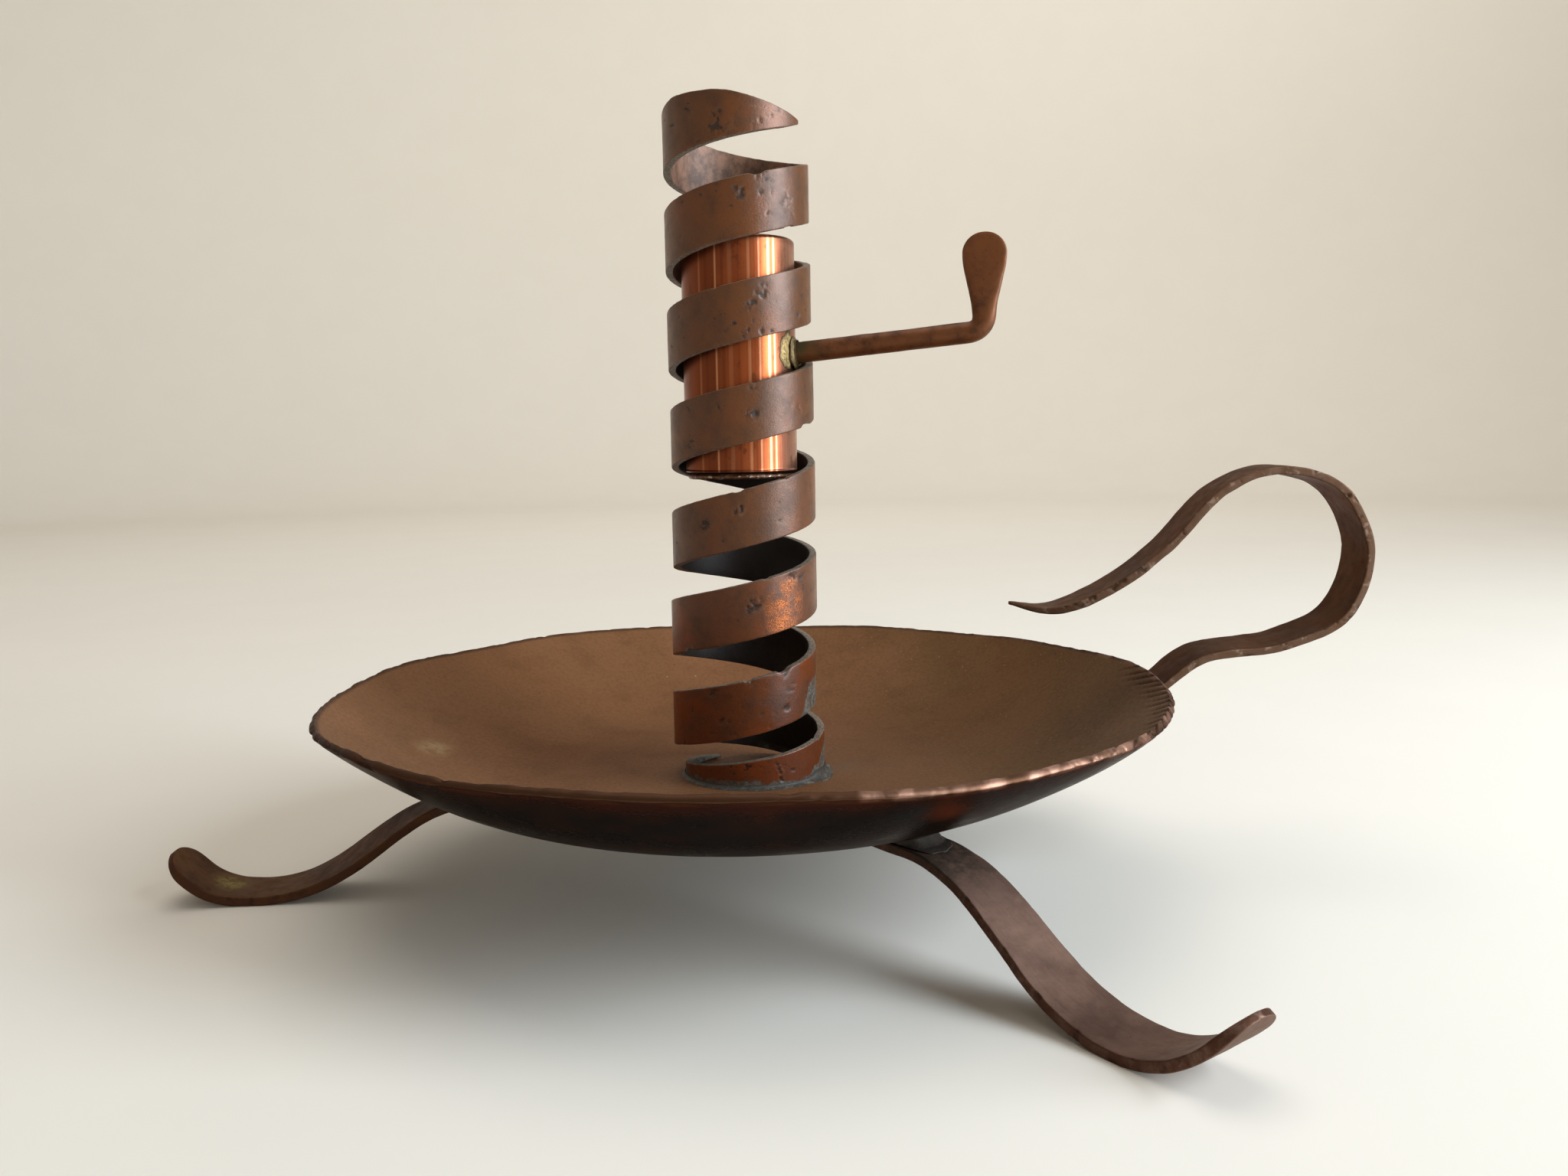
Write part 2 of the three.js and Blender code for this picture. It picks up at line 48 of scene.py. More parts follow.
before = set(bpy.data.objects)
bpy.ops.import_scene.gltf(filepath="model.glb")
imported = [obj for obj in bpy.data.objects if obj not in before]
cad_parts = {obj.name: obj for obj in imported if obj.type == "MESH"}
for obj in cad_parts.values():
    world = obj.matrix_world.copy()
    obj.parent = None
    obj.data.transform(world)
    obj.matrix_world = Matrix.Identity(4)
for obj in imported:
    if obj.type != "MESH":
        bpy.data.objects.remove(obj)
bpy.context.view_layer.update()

SURFACE_MAP = "Surface"
MM = 0.001
TURN = 2 * math.pi

# Room left between pieces that touch on the real object
SEAT_GAP = 0.3 * MM

# The tube's axis is the middle of the round seat disc, and the levels are those of the CAD nodes.
AXIS = np.mean(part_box("seat_disc"), axis=0)
SEAT_FOOT, SEAT_TOP = (corner[2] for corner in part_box("seat_disc"))
TUBE_FOOT, TUBE_TOP = (corner[2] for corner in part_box("spiral_tube"))
SLEEVE_FOOT, SLEEVE_TOP = (corner[2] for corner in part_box("lift_sleeve"))


# Settings that the panel shows

def length(name, description, millimetres):
    return figure(name, description, millimetres * MM, unit="LENGTH")


def angle(name, description, degrees):
    return figure(name, description, math.radians(degrees), subtype="ANGLE")


def figure(name, description, value, **unit):
    return bpy.props.FloatProperty(name=name, description=description, default=value, **unit)


def linear(code):
    """Linear light of a six-digit screen code."""
    screen = [int(code[place:place + 2], 16) / 255 for place in (0, 2, 4)]
    return tuple(value / 12.92 if value <= 0.04045 else ((value + 0.055) / 1.055) ** 2.4 for value in screen)


def colour(name, description, code):
    """Colour setting from its six-digit screen code, kept as linear light."""
    return bpy.props.FloatVectorProperty(name=name, description=description, default=linear(code), size=3,
                                         subtype="COLOR", min=0, max=1)


class CandlestickDishSettings(bpy.types.PropertyGroup):
    """Beaten drip dish."""
    rim_radius: length("Rim radius", "From the axis to the outside of the rim", 83)
    rim_height: length("Rim height", "Of the rim above the table", 40)
    depth: length("Depth", "From the rim down to the flat floor", 18.4)
    wall: length("Wall", "Thickness of the sheet", 1.6)
    floor_radius: length("Floor radius", "Of the flat floor, where the flare starts", 44)
    lift: length("Rim lift", "Half height of the slow waves in the beaten rim", 0.45)
    swell: length("Rim swell", "How far the rim wanders in and out", 0.35)
    beaten: length("Beaten width", "Width of the zone below the rim that shares its waves", 19)
    planish: length("Planishing", "Depth of the soft unevenness that the hammer left", 0.07)
    scallop: length("Scallops", "Depth of the small hollows along the rim's edge", 0.22)
    cut_depth: length("Cut depth", "Depth of the chisel cuts at the right of the rim", 0.6)
    inside: colour("Inside", "Matte brown of the inside", "775236")
    olive: colour("Olive", "Cooler olive part of the inside", "644a2e")
    # The outside's near-black is partly painted shade for the dark space under the dish
    outside: colour("Outside", "Near-black glossy brown of the outside", "31251d")
    # The lip's pinkish colour is laid on where the rim is partly rubbed and partly painted highlight
    lip: colour("Lip", "Rubbed pinkish copper on the rim", "94705e")
    dark_lip: colour("Dark lip", "Dark copper of the rim where it isn't rubbed", "4c3324")


class CandlestickSpiralSettings(bpy.types.PropertyGroup):
    """Helically slotted tube."""
    diameter: length("Diameter", "Outside diameter of the tube", 28)
    wall: length("Wall", "Thickness of the tube's wall", 1.5)
    band: length("Band height", "Height of the helical band", 11)
    slot: length("Slot height", "Height of the gap between two turns of the band", 7.8)
    first_turn: figure("First turn", "Turns from +X to where the band's edge leaves the dish", 0.346)
    even_turn: figure("Even turn", "Turn above which the band climbs evenly", 2)
    even_height: length("Even height", "Of the band's edge at the even turn, above the tube's foot", 25.3)
    land: length("Land", "Least height of the band where it runs out", 0.5)
    square_run: length("Square run", "Way round from the slot's end to the crest", 10.2)
    tip_run: length("Tip run", "Way round from the crest to the filed tip", 19.4)
    tip_knee: figure("Tip knee", "Share of the tip's run at which the file bit in", 0.16)
    tip_ease: figure("Tip ease", "Share over which that bend is rounded", 0.12)
    edge: length("Edge", "Radius of the worn edges", 0.22)
    brown: colour("Brown", "Patina of the upper bands", "5f3616")
    dark: colour("Dark", "Darker clouds in the patina", "42240f")
    orange: colour("Orange", "Copper where the patina is thin", "96491f")
    inside: colour("Inside", "Dull inner wall", "4d3528")
    cut: colour("Cut edge", "Grainy sawn edges", "85796a")


class CandlestickLiftSettings(bpy.types.PropertyGroup):
    """Lift sleeve, seat, lever and braze."""
    sleeve_play: length("Sleeve play", "Gap between the sleeve and the tube's wall", 1.5)
    sleeve_wall: length("Sleeve wall", "Thickness of the sleeve", 1)
    sleeve_rim: length("Sleeve rim", "Radius of the upper rim, rolled in by the pipe cutter", 0.85)
    sleeve_edge: length("Sleeve edge", "Radius of the sleeve's lower edge", 0.3)
    seat_inset: length("Seat inset", "How far the seat disc stays inside the sleeve's outside", 0.3)
    lever_turn: figure("Lever turn", "Turns from +X to the lever, counted along the slot", 4.953)
    lever_diameter: length("Lever diameter", "Of the round rod", 4.1)
    lever_rise: angle("Lever rise", "Slope of the rod", 4.5)
    lever_reach: length("Lever reach", "From the axis to the upright paddle", 47.7)
    lever_bend: length("Lever bend", "Run of the bend up into the paddle", 3.2)
    paddle_height: length("Paddle height", "From the rod's line to the paddle's top", 18)
    paddle_width: length("Paddle width", "Widest part of the paddle", 8.3)
    paddle_round: length("Paddle round", "Height of its rounded top", 3.7)
    paddle_thickness: length("Paddle thickness", "At its widest part", 1.6)
    neck_height: length("Neck height", "Where the paddle starts to spread", 7)
    neck_width: length("Neck width", "Of the paddle there", 5.2)
    neck_thickness: length("Neck thickness", "Of the paddle there", 2.7)
    ride_gap: length("Ride gap", "Between the lever and the band it rides on", 0.5)
    braze_wall: length("Braze wall", "Thickness of the braze collar at the sleeve", 1.05)
    braze_land: length("Braze land", "Thickness of its thin end", 0.2)
    smear_side: angle("Smear side", "From the lever to the middle of the braze smeared on the sleeve", -15)
    smear_wide: length("Smear width", "Half width of that smear", 2.7)
    smear_tall: length("Smear height", "Half height of that smear", 3.7)
    smear_thick: length("Smear thickness", "Of the smear at its middle", 0.2)
    bright: colour("Bright", "Drawn copper of the sleeve", "b55f35")
    tarnish: colour("Tarnish", "Darker streaks of the sleeve", "8c4426")
    brown: colour("Lever brown", "Satin patina of the lever", "6e4022")
    blade: colour("Paddle", "Warmer brown of the paddle", "754323")
    braze: colour("Braze", "Pale yellow-green braze", "b89a62")


class CandlestickStrapSettings(bpy.types.PropertyGroup):
    """Legs and handle, all from one strap."""
    thickness: length("Thickness", "Of the strap", 1.9)
    edge: length("Edge", "Radius of the strap's edges", 0.4)
    neck_width: length("Leg neck", "Width of a leg under the dish", 10)
    toe_width: length("Leg toe", "Width of a leg at its foot", 12.6)
    lap: length("Lap", "How far a leg laps under the flat floor", 10)
    level: length("Level run", "How far a leg runs level past the floor's edge", 8)
    drop_hold: length("Drop hold", "Handle length of the leg's S curve", 20)
    foot_out: length("Foot out", "How far a foot stands outside the rim", 14.4)
    foot_wear: length("Foot wear", "Depth filed off under a foot", 0.12)
    toe_hold: length("Toe hold", "Handle length of the toe's curve at the foot", 7)
    tip_hold: length("Tip hold", "Run of the toe's curve back from its tip", 4.9)
    tip_rise: length("Tip rise", "Rise of the toe's curve up to its tip", 7.4)
    toe_round: length("Toe round", "Length over which the toe is rounded", 5)
    toe_tip: length("Toe tip", "Width left at the toe's end", 2)
    toe_thin: figure("Toe thinning", "Share of the thickness that the hammer took at the toe's end", 0.35)
    handle_width: length("Handle width", "Width of the handle's strap", 10.6)
    handle_azimuth: angle("Handle azimuth", "Direction of the handle from the axis", 1)
    handle_twist: angle("Handle twist", "Twist of the handle where it leaves the dish", 6)
    twist_run: length("Twist run", "Length over which the twist comes and goes", 72)
    seat_share: figure("Handle seat", "Share of the flare at which the handle starts", 0.82)
    lip_ease: length("Lip ease", "Extra room between the handle and the rim", 0.4)
    lip_drop: length("Lip drop", "How far below the rim the handle passes it", 1.9)
    taper: length("Taper", "Length of the handle's leaf point", 17)
    fullness: figure("Fullness", "Fullness of the leaf point", 0.8)
    handle_brown: colour("Handle brown", "Satin brown of the handle", "5c3b22")
    handle_dark: colour("Handle dark", "Darker clouds on the handle", "432c1d")
    handle_edge: colour("Handle edge", "Worn edges of the handle", "5f4738")
    front_brown: colour("Front leg", "Mauve-brown of the front leg", "7b6053")
    front_dark: colour("Front leg dark", "Darker clouds on the front leg", "544037")
    # The other legs' darker, warmer brown is painted shade: they face away from the window light, while the
    # front leg keeps the lit colour
    shaded_leg_brown: colour("Other legs", "Warmer, darker brown of the other legs", "5c3e20")
    shaded_leg_dark: colour("Other legs dark", "Darker clouds on the other legs", "382010")
    leg_edge: colour("Leg edge", "Dark reddish edges of the legs", "4b3024")


class CandlestickSolderSettings(bpy.types.PropertyGroup):
    """Grey solder at the joints."""
    run: length("Run", "Width of the fillet on the dish", 1.2)
    rise: length("Rise", "Height of the fillet on the tube", 1)
    end_share: figure("End share", "Size of the fillet at its ends", 0.5)
    leg_setback: length("Leg setback", "Start of the leg solder past the floor's edge", 4.5)
    leg_length: length("Leg length", "Length of the leg solder under the flare", 4.5)
    leg_toe: length("Leg toe", "Length of its sloping toe", 4)
    leg_width: length("Leg width", "Width of the leg solder", 9.2)
    handle_width: length("Handle width", "Length of the bead across the handle", 9)
    handle_run: length("Handle run", "How far the bead runs down the wall", 2.6)
    handle_lift: length("Handle lift", "How far the bead stands off the wall", 1.6)
    crown: length("Crown", "How far the bead's face bulges", 0.4)
    grey: colour("Grey", "Rough grey solder", "403b34")
    crust: colour("Crust", "Pale flux crust", "655f55")
    leg_grey: colour("Leg solder", "Dark mottled solder on the legs", "413830")


class CandlestickStageSettings(bpy.types.PropertyGroup):
    """Floor, lights and camera."""
    floor: colour("Floor", "Pale floor and backdrop", "e9e3d8")
    sweep_radius: length("Sweep radius", "Where the floor starts to curve up", 1500)
    sweep_bend: length("Sweep bend", "Radius of that curve", 500)
    sweep_height: length("Sweep height", "Height of the backdrop", 1300)
    key_power: figure("Key power", "Watts of the tall window light", 16, unit="POWER")
    fill_power: figure("Fill power", "Watts of the overhead fill", 5, unit="POWER")
    wall_power: figure("Backdrop power", "Watts of the light on the back wall", 8, unit="POWER")
    sky: figure("Sky", "Strength of the even light from all round", 0.25)
    camera_back: length("Camera back", "Distance of the camera in front of the axis", 252.6)
    camera_height: length("Camera height", "Of the camera above the table", 89.1)
    camera_yaw: angle("Camera yaw", "Turn of the view to the right", 1.81)
    camera_pitch: angle("Camera pitch", "Tilt of the view downwards", 6.8)
    camera_roll: angle("Camera roll", "Roll of the view", 0.95)


# Numbers and grids

def smooth(value, low, high):
    """Ease curve 3t^2 - 2t^3 of where value lies between low and high, 0 before and 1 after."""
    share = np.clip((value - low) / (high - low), 0, 1)
    return share * share * (3 - 2 * share)


def lerp(start, end, share):
    return start + (end - start) * share


def tent(value, half):
    """1 where value is 0, falling straight to 0 at the half width on both sides."""
    return np.clip(1 - np.abs(value) / half, 0, 1)


def shares(count):
    """Evenly spaced shares from 0 to 1, one to a row."""
    return np.linspace(0, 1, count)[:, None]


def once_round(count):
    """Evenly spaced angles once round, in one row."""
    return np.linspace(0, TURN, count, endpoint=False)[None, :]


def left_of(along):
    """Directions in radius and height, turned a quarter to the left."""
    return np.stack([-along[..., 1], along[..., 0]], -1)


def eased_table(rows, place):
    """Value at a place from (place, value) rows, eased by 3t^2 - 2t^3 from each row to the next."""
    known, value = np.array(rows, float).T
    after = np.clip(np.searchsorted(known, place), 1, len(known) - 1)
    return lerp(value[after - 1], value[after], smooth(place, known[after - 1], known[after]))


def corner_values(cell, seed):
    """A fixed number from -1 to 1 for each whole-number corner: its coordinates times large odd numbers,
    mixed by shifts and cut to 24 bits."""
    largest = 0xFFFFFF
    mixed = (cell * np.array([73856093, 19349663, 83492791])).sum(-1) + seed * 49979687
    mixed = (mixed ^ (mixed >> 13)) * 1274126177
    mixed = (mixed ^ (mixed >> 16)) & largest
    return mixed / (largest // 2) - 1.0


def lumps(points, size, seed):
    """Soft bumps from -1 to 1 about `size` across: the values of the eight corners round each point,
    blended along each direction by 3t^2 - 2t^3."""
    place = points / size
    cell = np.floor(place).astype(np.int64)
    share = place - cell
    share = share * share * (3 - 2 * share)
    total = np.zeros(points.shape[:-1])
    for corner in np.ndindex(2, 2, 2):
        weight = np.prod(np.where(corner, share, 1 - share), axis=-1)
        total += weight * corner_values(cell + np.array(corner), seed)
    return total


def rough(points, size, seed, layers=3):
    """Lumps of `size`, with smaller and shallower lumps laid over them, each half of the one before."""
    return sum(lumps(points, size / 2 ** layer, seed + layer) / 2 ** layer for layer in range(layers))


def flat_place(first, second):
    """Points of a flat map, for lumps that follow a surface's own two directions."""
    first, second = np.broadcast_arrays(first, second)
    return np.stack([first, second, np.zeros_like(first)], -1)


def spot(first, second, centre, reach, sharpness=2.0):
    """Round soft mark from 1 at its centre to 0 at its reach: (1 - distance^2)^sharpness."""
    far = ((first - centre[0]) / reach[0]) ** 2 + ((second - centre[1]) / reach[1]) ** 2
    return np.clip(1 - far, 0, 1) ** sharpness


def bezier(hold, share):
    """Point and unit direction at each share of a cubic Bezier curve with the four given holds."""
    hold = np.asarray(hold, float)
    share = np.asarray(share, float)[:, None]
    rest = 1 - share
    place = (rest ** 3 * hold[0] + 3 * rest ** 2 * share * hold[1]
             + 3 * rest * share ** 2 * hold[2] + share ** 3 * hold[3])
    along = (rest ** 2 * (hold[1] - hold[0]) + 2 * rest * share * (hold[2] - hold[1])
             + share ** 2 * (hold[3] - hold[2]))
    return place, along / np.linalg.norm(along, axis=1, keepdims=True)


def even_path(line, steps, end_run=0.0, end_steps=0):
    """Points spaced evenly along a dense line, their unit directions, and their distances from its start.
    Over the end run they draw together as a sine does near its crest."""
    reach = np.r_[0, np.cumsum(np.linalg.norm(np.diff(line, axis=0), axis=1))]
    along = np.linspace(0, reach[-1] - end_run, steps)
    closing = np.sin(np.linspace(0, math.pi / 2, end_steps + 1))[1:]
    along = np.r_[along, reach[-1] - end_run * (1 - closing)]
    place = np.stack([np.interp(along, reach, line[:, axis]) for axis in range(line.shape[1])], -1)
    heading = np.gradient(place, along, axis=0)
    return place, heading / np.linalg.norm(heading, axis=1, keepdims=True), along


def through(points, steps=40):
    """Dense centripetal Catmull-Rom line through the points: each span's cubic is set by the slopes
    (b-a)/s - (c-a)/(s+t) + (c-b)/t, where s and t are the square roots of the spans' lengths."""
    points = np.asarray(points, float)
    padded = np.vstack([2 * points[0] - points[1], points, 2 * points[-1] - points[-2]])
    gap = np.sqrt(np.linalg.norm(np.diff(padded, axis=0), axis=1))[:, None]
    a, b, c, d = padded[:-3], padded[1:-2], padded[2:-1], padded[3:]
    s, t, u = gap[:-2], gap[1:-1], gap[2:]
    leave = ((b - a) / s - (c - a) / (s + t) + (c - b) / t) * t
    arrive = ((c - b) / t - (d - b) / (t + u) + (d - c) / u) * t
    share = np.linspace(0, 1, steps, endpoint=False)[None, :, None]
    b, c, leave, arrive = b[:, None], c[:, None], leave[:, None], arrive[:, None]
    spans = (b + leave * share + (3 * (c - b) - 2 * leave - arrive) * share ** 2
             + (leave + arrive - 2 * (c - b)) * share ** 3)
    return np.vstack([spans.reshape(-1, points.shape[1]), points[-1]])


def rounded_box(width, height, radius, up, across, bend=4, back=None):
    """Rounded rectangle about the middle, walked anticlockwise from the foot of its right side, with `up`
    points on that side and `back` on the left one. A point is the core corner plus the outward direction
    times the radius. Returns x, y and that direction."""
    arc = np.linspace(0, math.pi / 2, bend + 2)[1:-1]
    side, level, rear = np.linspace(-1, 1, up), np.linspace(1, -1, across), np.linspace(1, -1, back or up)
    right, flat, left, turned = np.ones(up), np.ones(across), np.ones(len(rear)), np.ones(bend)
    core_x = np.r_[right, turned, level, -turned, -left, -turned, -level, turned]
    core_y = np.r_[side, turned, flat, turned, rear, -turned, -flat, -turned]
    out_x = np.r_[right, np.cos(arc), 0 * flat, -np.sin(arc), -left, -np.cos(arc), 0 * flat, np.sin(arc)]
    out_y = np.r_[0 * right, np.sin(arc), flat, np.cos(arc), 0 * left, -np.sin(arc), -flat, -np.cos(arc)]
    x = core_x * (width / 2 - radius) + out_x * radius
    y = core_y * (height / 2 - radius) + out_y * radius
    return x, y, out_x, out_y


def round_axis(radius, turn, height):
    """Points in the shared frame from their distance to the tube's axis, their angle from +X and height."""
    return np.stack(np.broadcast_arrays(AXIS[0] + radius * np.cos(turn), AXIS[1] + radius * np.sin(turn),
                                        height), -1)


def face_out(points, azimuth):
    """Turns points drawn over +X, with the axis at x = y = 0, round to an azimuth, and moves them to the
    tube's axis."""
    cos, sin = math.cos(azimuth), math.sin(azimuth)
    return np.stack([AXIS[0] + points[..., 0] * cos - points[..., 1] * sin,
                     AXIS[1] + points[..., 0] * sin + points[..., 1] * cos, points[..., 2]], -1)


def volume(points, ring):
    """Six times the volume inside a grid, as the sum of a.(b x c) over the triangles of its quads, taken
    about the grid's middle: negative where its faces would point in. A ring's last section joins its
    first."""
    a = points - points.reshape(-1, 3).mean(axis=0)
    b, c = np.roll(a, -1, axis=1), np.roll(a, -1, axis=0)
    d = np.roll(b, -1, axis=0)
    whole = (a * np.cross(b, d)) + (a * np.cross(d, c))
    return whole.sum() if ring else whole[:-1].sum()


def surface_map(points):
    """Flat map of a grid in metres: mean distance from the first section, and distance round each section.
    It has one more section and one more point than the grid, for the seams."""
    closed = np.concatenate([points, points[:, :1]], axis=1)
    closed = np.concatenate([closed, closed[:1]], axis=0)
    across = np.linalg.norm(np.diff(closed, axis=1), axis=2)
    v = np.concatenate([np.zeros((len(closed), 1)), np.cumsum(across, axis=1)], axis=1)
    steps = np.linalg.norm(np.diff(closed, axis=0), axis=2).mean(axis=1)
    u = np.r_[0, np.cumsum(steps)][:, None] * np.ones_like(v)
    return np.stack([u, v], -1)


def grid_faces(points, ring):
    """Faces of a grid and the flat map of each of their corners. Sections join one to the next, and in a
    ring the last joins the first; otherwise a fan closes each end to a hub numbered after the points."""
    rows, columns = points.shape[:2]
    flat = surface_map(points)
    i, j = np.meshgrid(np.arange(rows if ring else rows - 1), np.arange(columns), indexing="ij")
    i, j = i.ravel(), j.ravel()
    next_row, next_column = (i + 1) % rows, (j + 1) % columns
    quads = np.stack([i * columns + j, i * columns + next_column,
                      next_row * columns + next_column, next_row * columns + j], -1)
    corners = np.stack([flat[i, j], flat[i, j + 1], flat[i + 1, j + 1], flat[i + 1, j]], 1)
    faces, maps = quads.tolist(), [corners.reshape(-1, 2)]
    if not ring:
        j = np.arange(columns)
        for row, hub, first, second in ((0, rows * columns, 1, 0), (rows - 1, rows * columns + 1, 0, 1)):
            fan = np.stack([np.full(columns, hub), row * columns + (j + first) % columns,
                            row * columns + (j + second) % columns], -1)
            middle = np.broadcast_to(flat[row].mean(axis=0), (columns, 2))
            faces += fan.tolist()
            maps.append(np.stack([middle, flat[row, j + first], flat[row, j + second]], 1).reshape(-1, 2))
    return faces, np.vstack(maps)


def skin(name, grids, ring=False):
    """Mesh of one or more grids. A grid is (points, marks): points[i, j] is point j of section i, and each
    mark is a named number for every point, which the material reads. A grid whose faces would point in is
    walked the other way round. `ring` may be a list with one value for each grid."""
    vertices, faces, maps, marks = [], [], [], {}
    rings = ring if isinstance(ring, list) else [ring] * len(grids)
    for (points, values), closed in zip(grids, rings):
        way = slice(None) if volume(points, closed) > 0 else slice(None, None, -1)
        points = points[:, way]
        hubs = [] if closed else [points[0].mean(axis=0), points[-1].mean(axis=0)]
        start = sum(len(part) for part in vertices)
        new_faces, new_maps = grid_faces(points, closed)
        faces += [[corner + start for corner in face] for face in new_faces]
        maps.append(new_maps)
        vertices.append(np.vstack([points.reshape(-1, 3), *hubs]))
        for key, value in values.items():
            value = np.broadcast_to(value, points.shape[:2])[:, way]
            ends = [] if closed else [value[0].mean(), value[-1].mean()]
            marks.setdefault(key, []).append(np.r_[value.ravel(), ends])
    mesh = bpy.data.meshes.new(name)
    mesh.from_pydata(np.vstack(vertices), [], faces)
    mesh.uv_layers.new(name=SURFACE_MAP).data.foreach_set("uv", np.vstack(maps).astype(np.float32).ravel())
    for key, parts in marks.items():
        attribute = mesh.attributes.new(key, "FLOAT", "POINT")
        attribute.data.foreach_set("value", np.concatenate(parts).astype(np.float32))
    mesh.polygons.foreach_set("use_smooth", np.ones(len(faces), bool))
    mesh.update()
    return mesh


def stand_for(node, grids, material, body, ring=False):
    """Puts a mesh of the grids in the scene in place of its CAD node."""
    mesh = skin(f"{node}_skin", grids, ring)
    piece = bpy.data.objects.new(f"{node}_skin", mesh)
    bpy.context.scene.collection.objects.link(piece)
    mesh.materials.append(material)
    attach(piece, body)
    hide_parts(node)


# Shapes

# Slow waves of the beaten rim: how many round the rim, phase and share
RIM_LIFT_WAVES = ((3, 1.1, 1.0), (7, 0.4, 0.5), (12, 0.0, 0.35))
RIM_SWELL_WAVES = ((2, 2.3, 1.0), (9, 1.7, 0.5))

# Legs: azimuth and roll in degrees, run and height of the curled toe in millimetres
LEGS = {"leg_front": (-55, 0, 19, 12.4), "leg_left": (183, 11, 16.2, 9.8), "leg_back": (64, 4, 17.6, 11)}

# Bends of the handle beyond and above the rim, in millimetres, from the lip round the loop to the tip
HANDLE_BENDS = ((9, 3.4), (26, 5.9), (38.5, 11.8), (42.7, 24.8), (36.4, 37.2), (24, 40.9), (13.2, 37.3),
                (1.5, 25.6), (-10, 17.5), (-21, 13.6), (-29.4, 14.9))

# Chisel cuts across the rim: azimuth in degrees, depth share and length in millimetres
RIM_CUTS = ((5.0, 0.4, 2.0), (1.8, 0.6, 2.6), (-0.9, 0.8, 3.2), (-3.8, 0.9, 3.0), (-6.2, 0.6, 2.2),
            (-8.9, 0.8, 3.4), (-11.4, 0.9, 3.4), (-14.3, 0.6, 2.6), (-16.8, 1.0, 3.8), (-19.9, 0.8, 3.0),
            (-22.4, 0.9, 3.6), (-25.4, 0.7, 2.8), (-28.1, 1.0, 4.0), (-31.3, 0.8, 3.4), (-34.7, 0.5, 2.4),
            (-38.6, 0.7, 2.6), (-43.5, 0.4, 2.0))

# Run of each cut along the rim for each step inwards, half widths of a cut and of the fold raised beside it,
# and the fold's distance from the cut's middle
CUT_SLANT, CUT_HALF, FOLD_HALF, FOLD_BESIDE = 2.4, 0.4 * MM, 0.5 * MM, 0.6 * MM

# How pale the rim is, by azimuth in degrees: partly rubbed copper and partly painted highlight, strongest at
# the front right under the window light
RIM_RUBBED_AND_LIT = ((-180, 0.3), (-140, 0.15), (-100, 0.15), (-72, 0.65), (-45, 1.0), (-15, 0.85), (12, 0.5),
              (70, 0.35), (180, 0.3))

# Drift of the band's edges from an even climb: turns from +X and millimetres upwards
BAND_DRIFT = ((0.346, 0), (1.2, 0), (1.5, 0.3), (2.95, 0.3), (3.5, -1.0), (3.9, -0.5), (4.4, 0), (7.3, 0),
              (7.55, -0.4), (7.86, -0.7), (7.95, -0.3))

# How much wider than the tube the lower coils are: turns from +X and millimetres all round
BAND_SPREAD = ((0.346, 0.2), (1.3, 0.2), (1.6, 0.45), (2.8, 0.6), (3.3, 0.3), (5.2, 0.15), (7.0, 0))

# How far the coils stand towards +X: turns from +X and millimetres
BAND_SHIFT = ((0.346, 1.6), (1.2, 1.5), (1.55, -0.4), (2.1, -0.3), (2.6, 0), (3.8, 0.3), (4.8, 0.3),
              (5.6, 0.15), (6.5, 0))

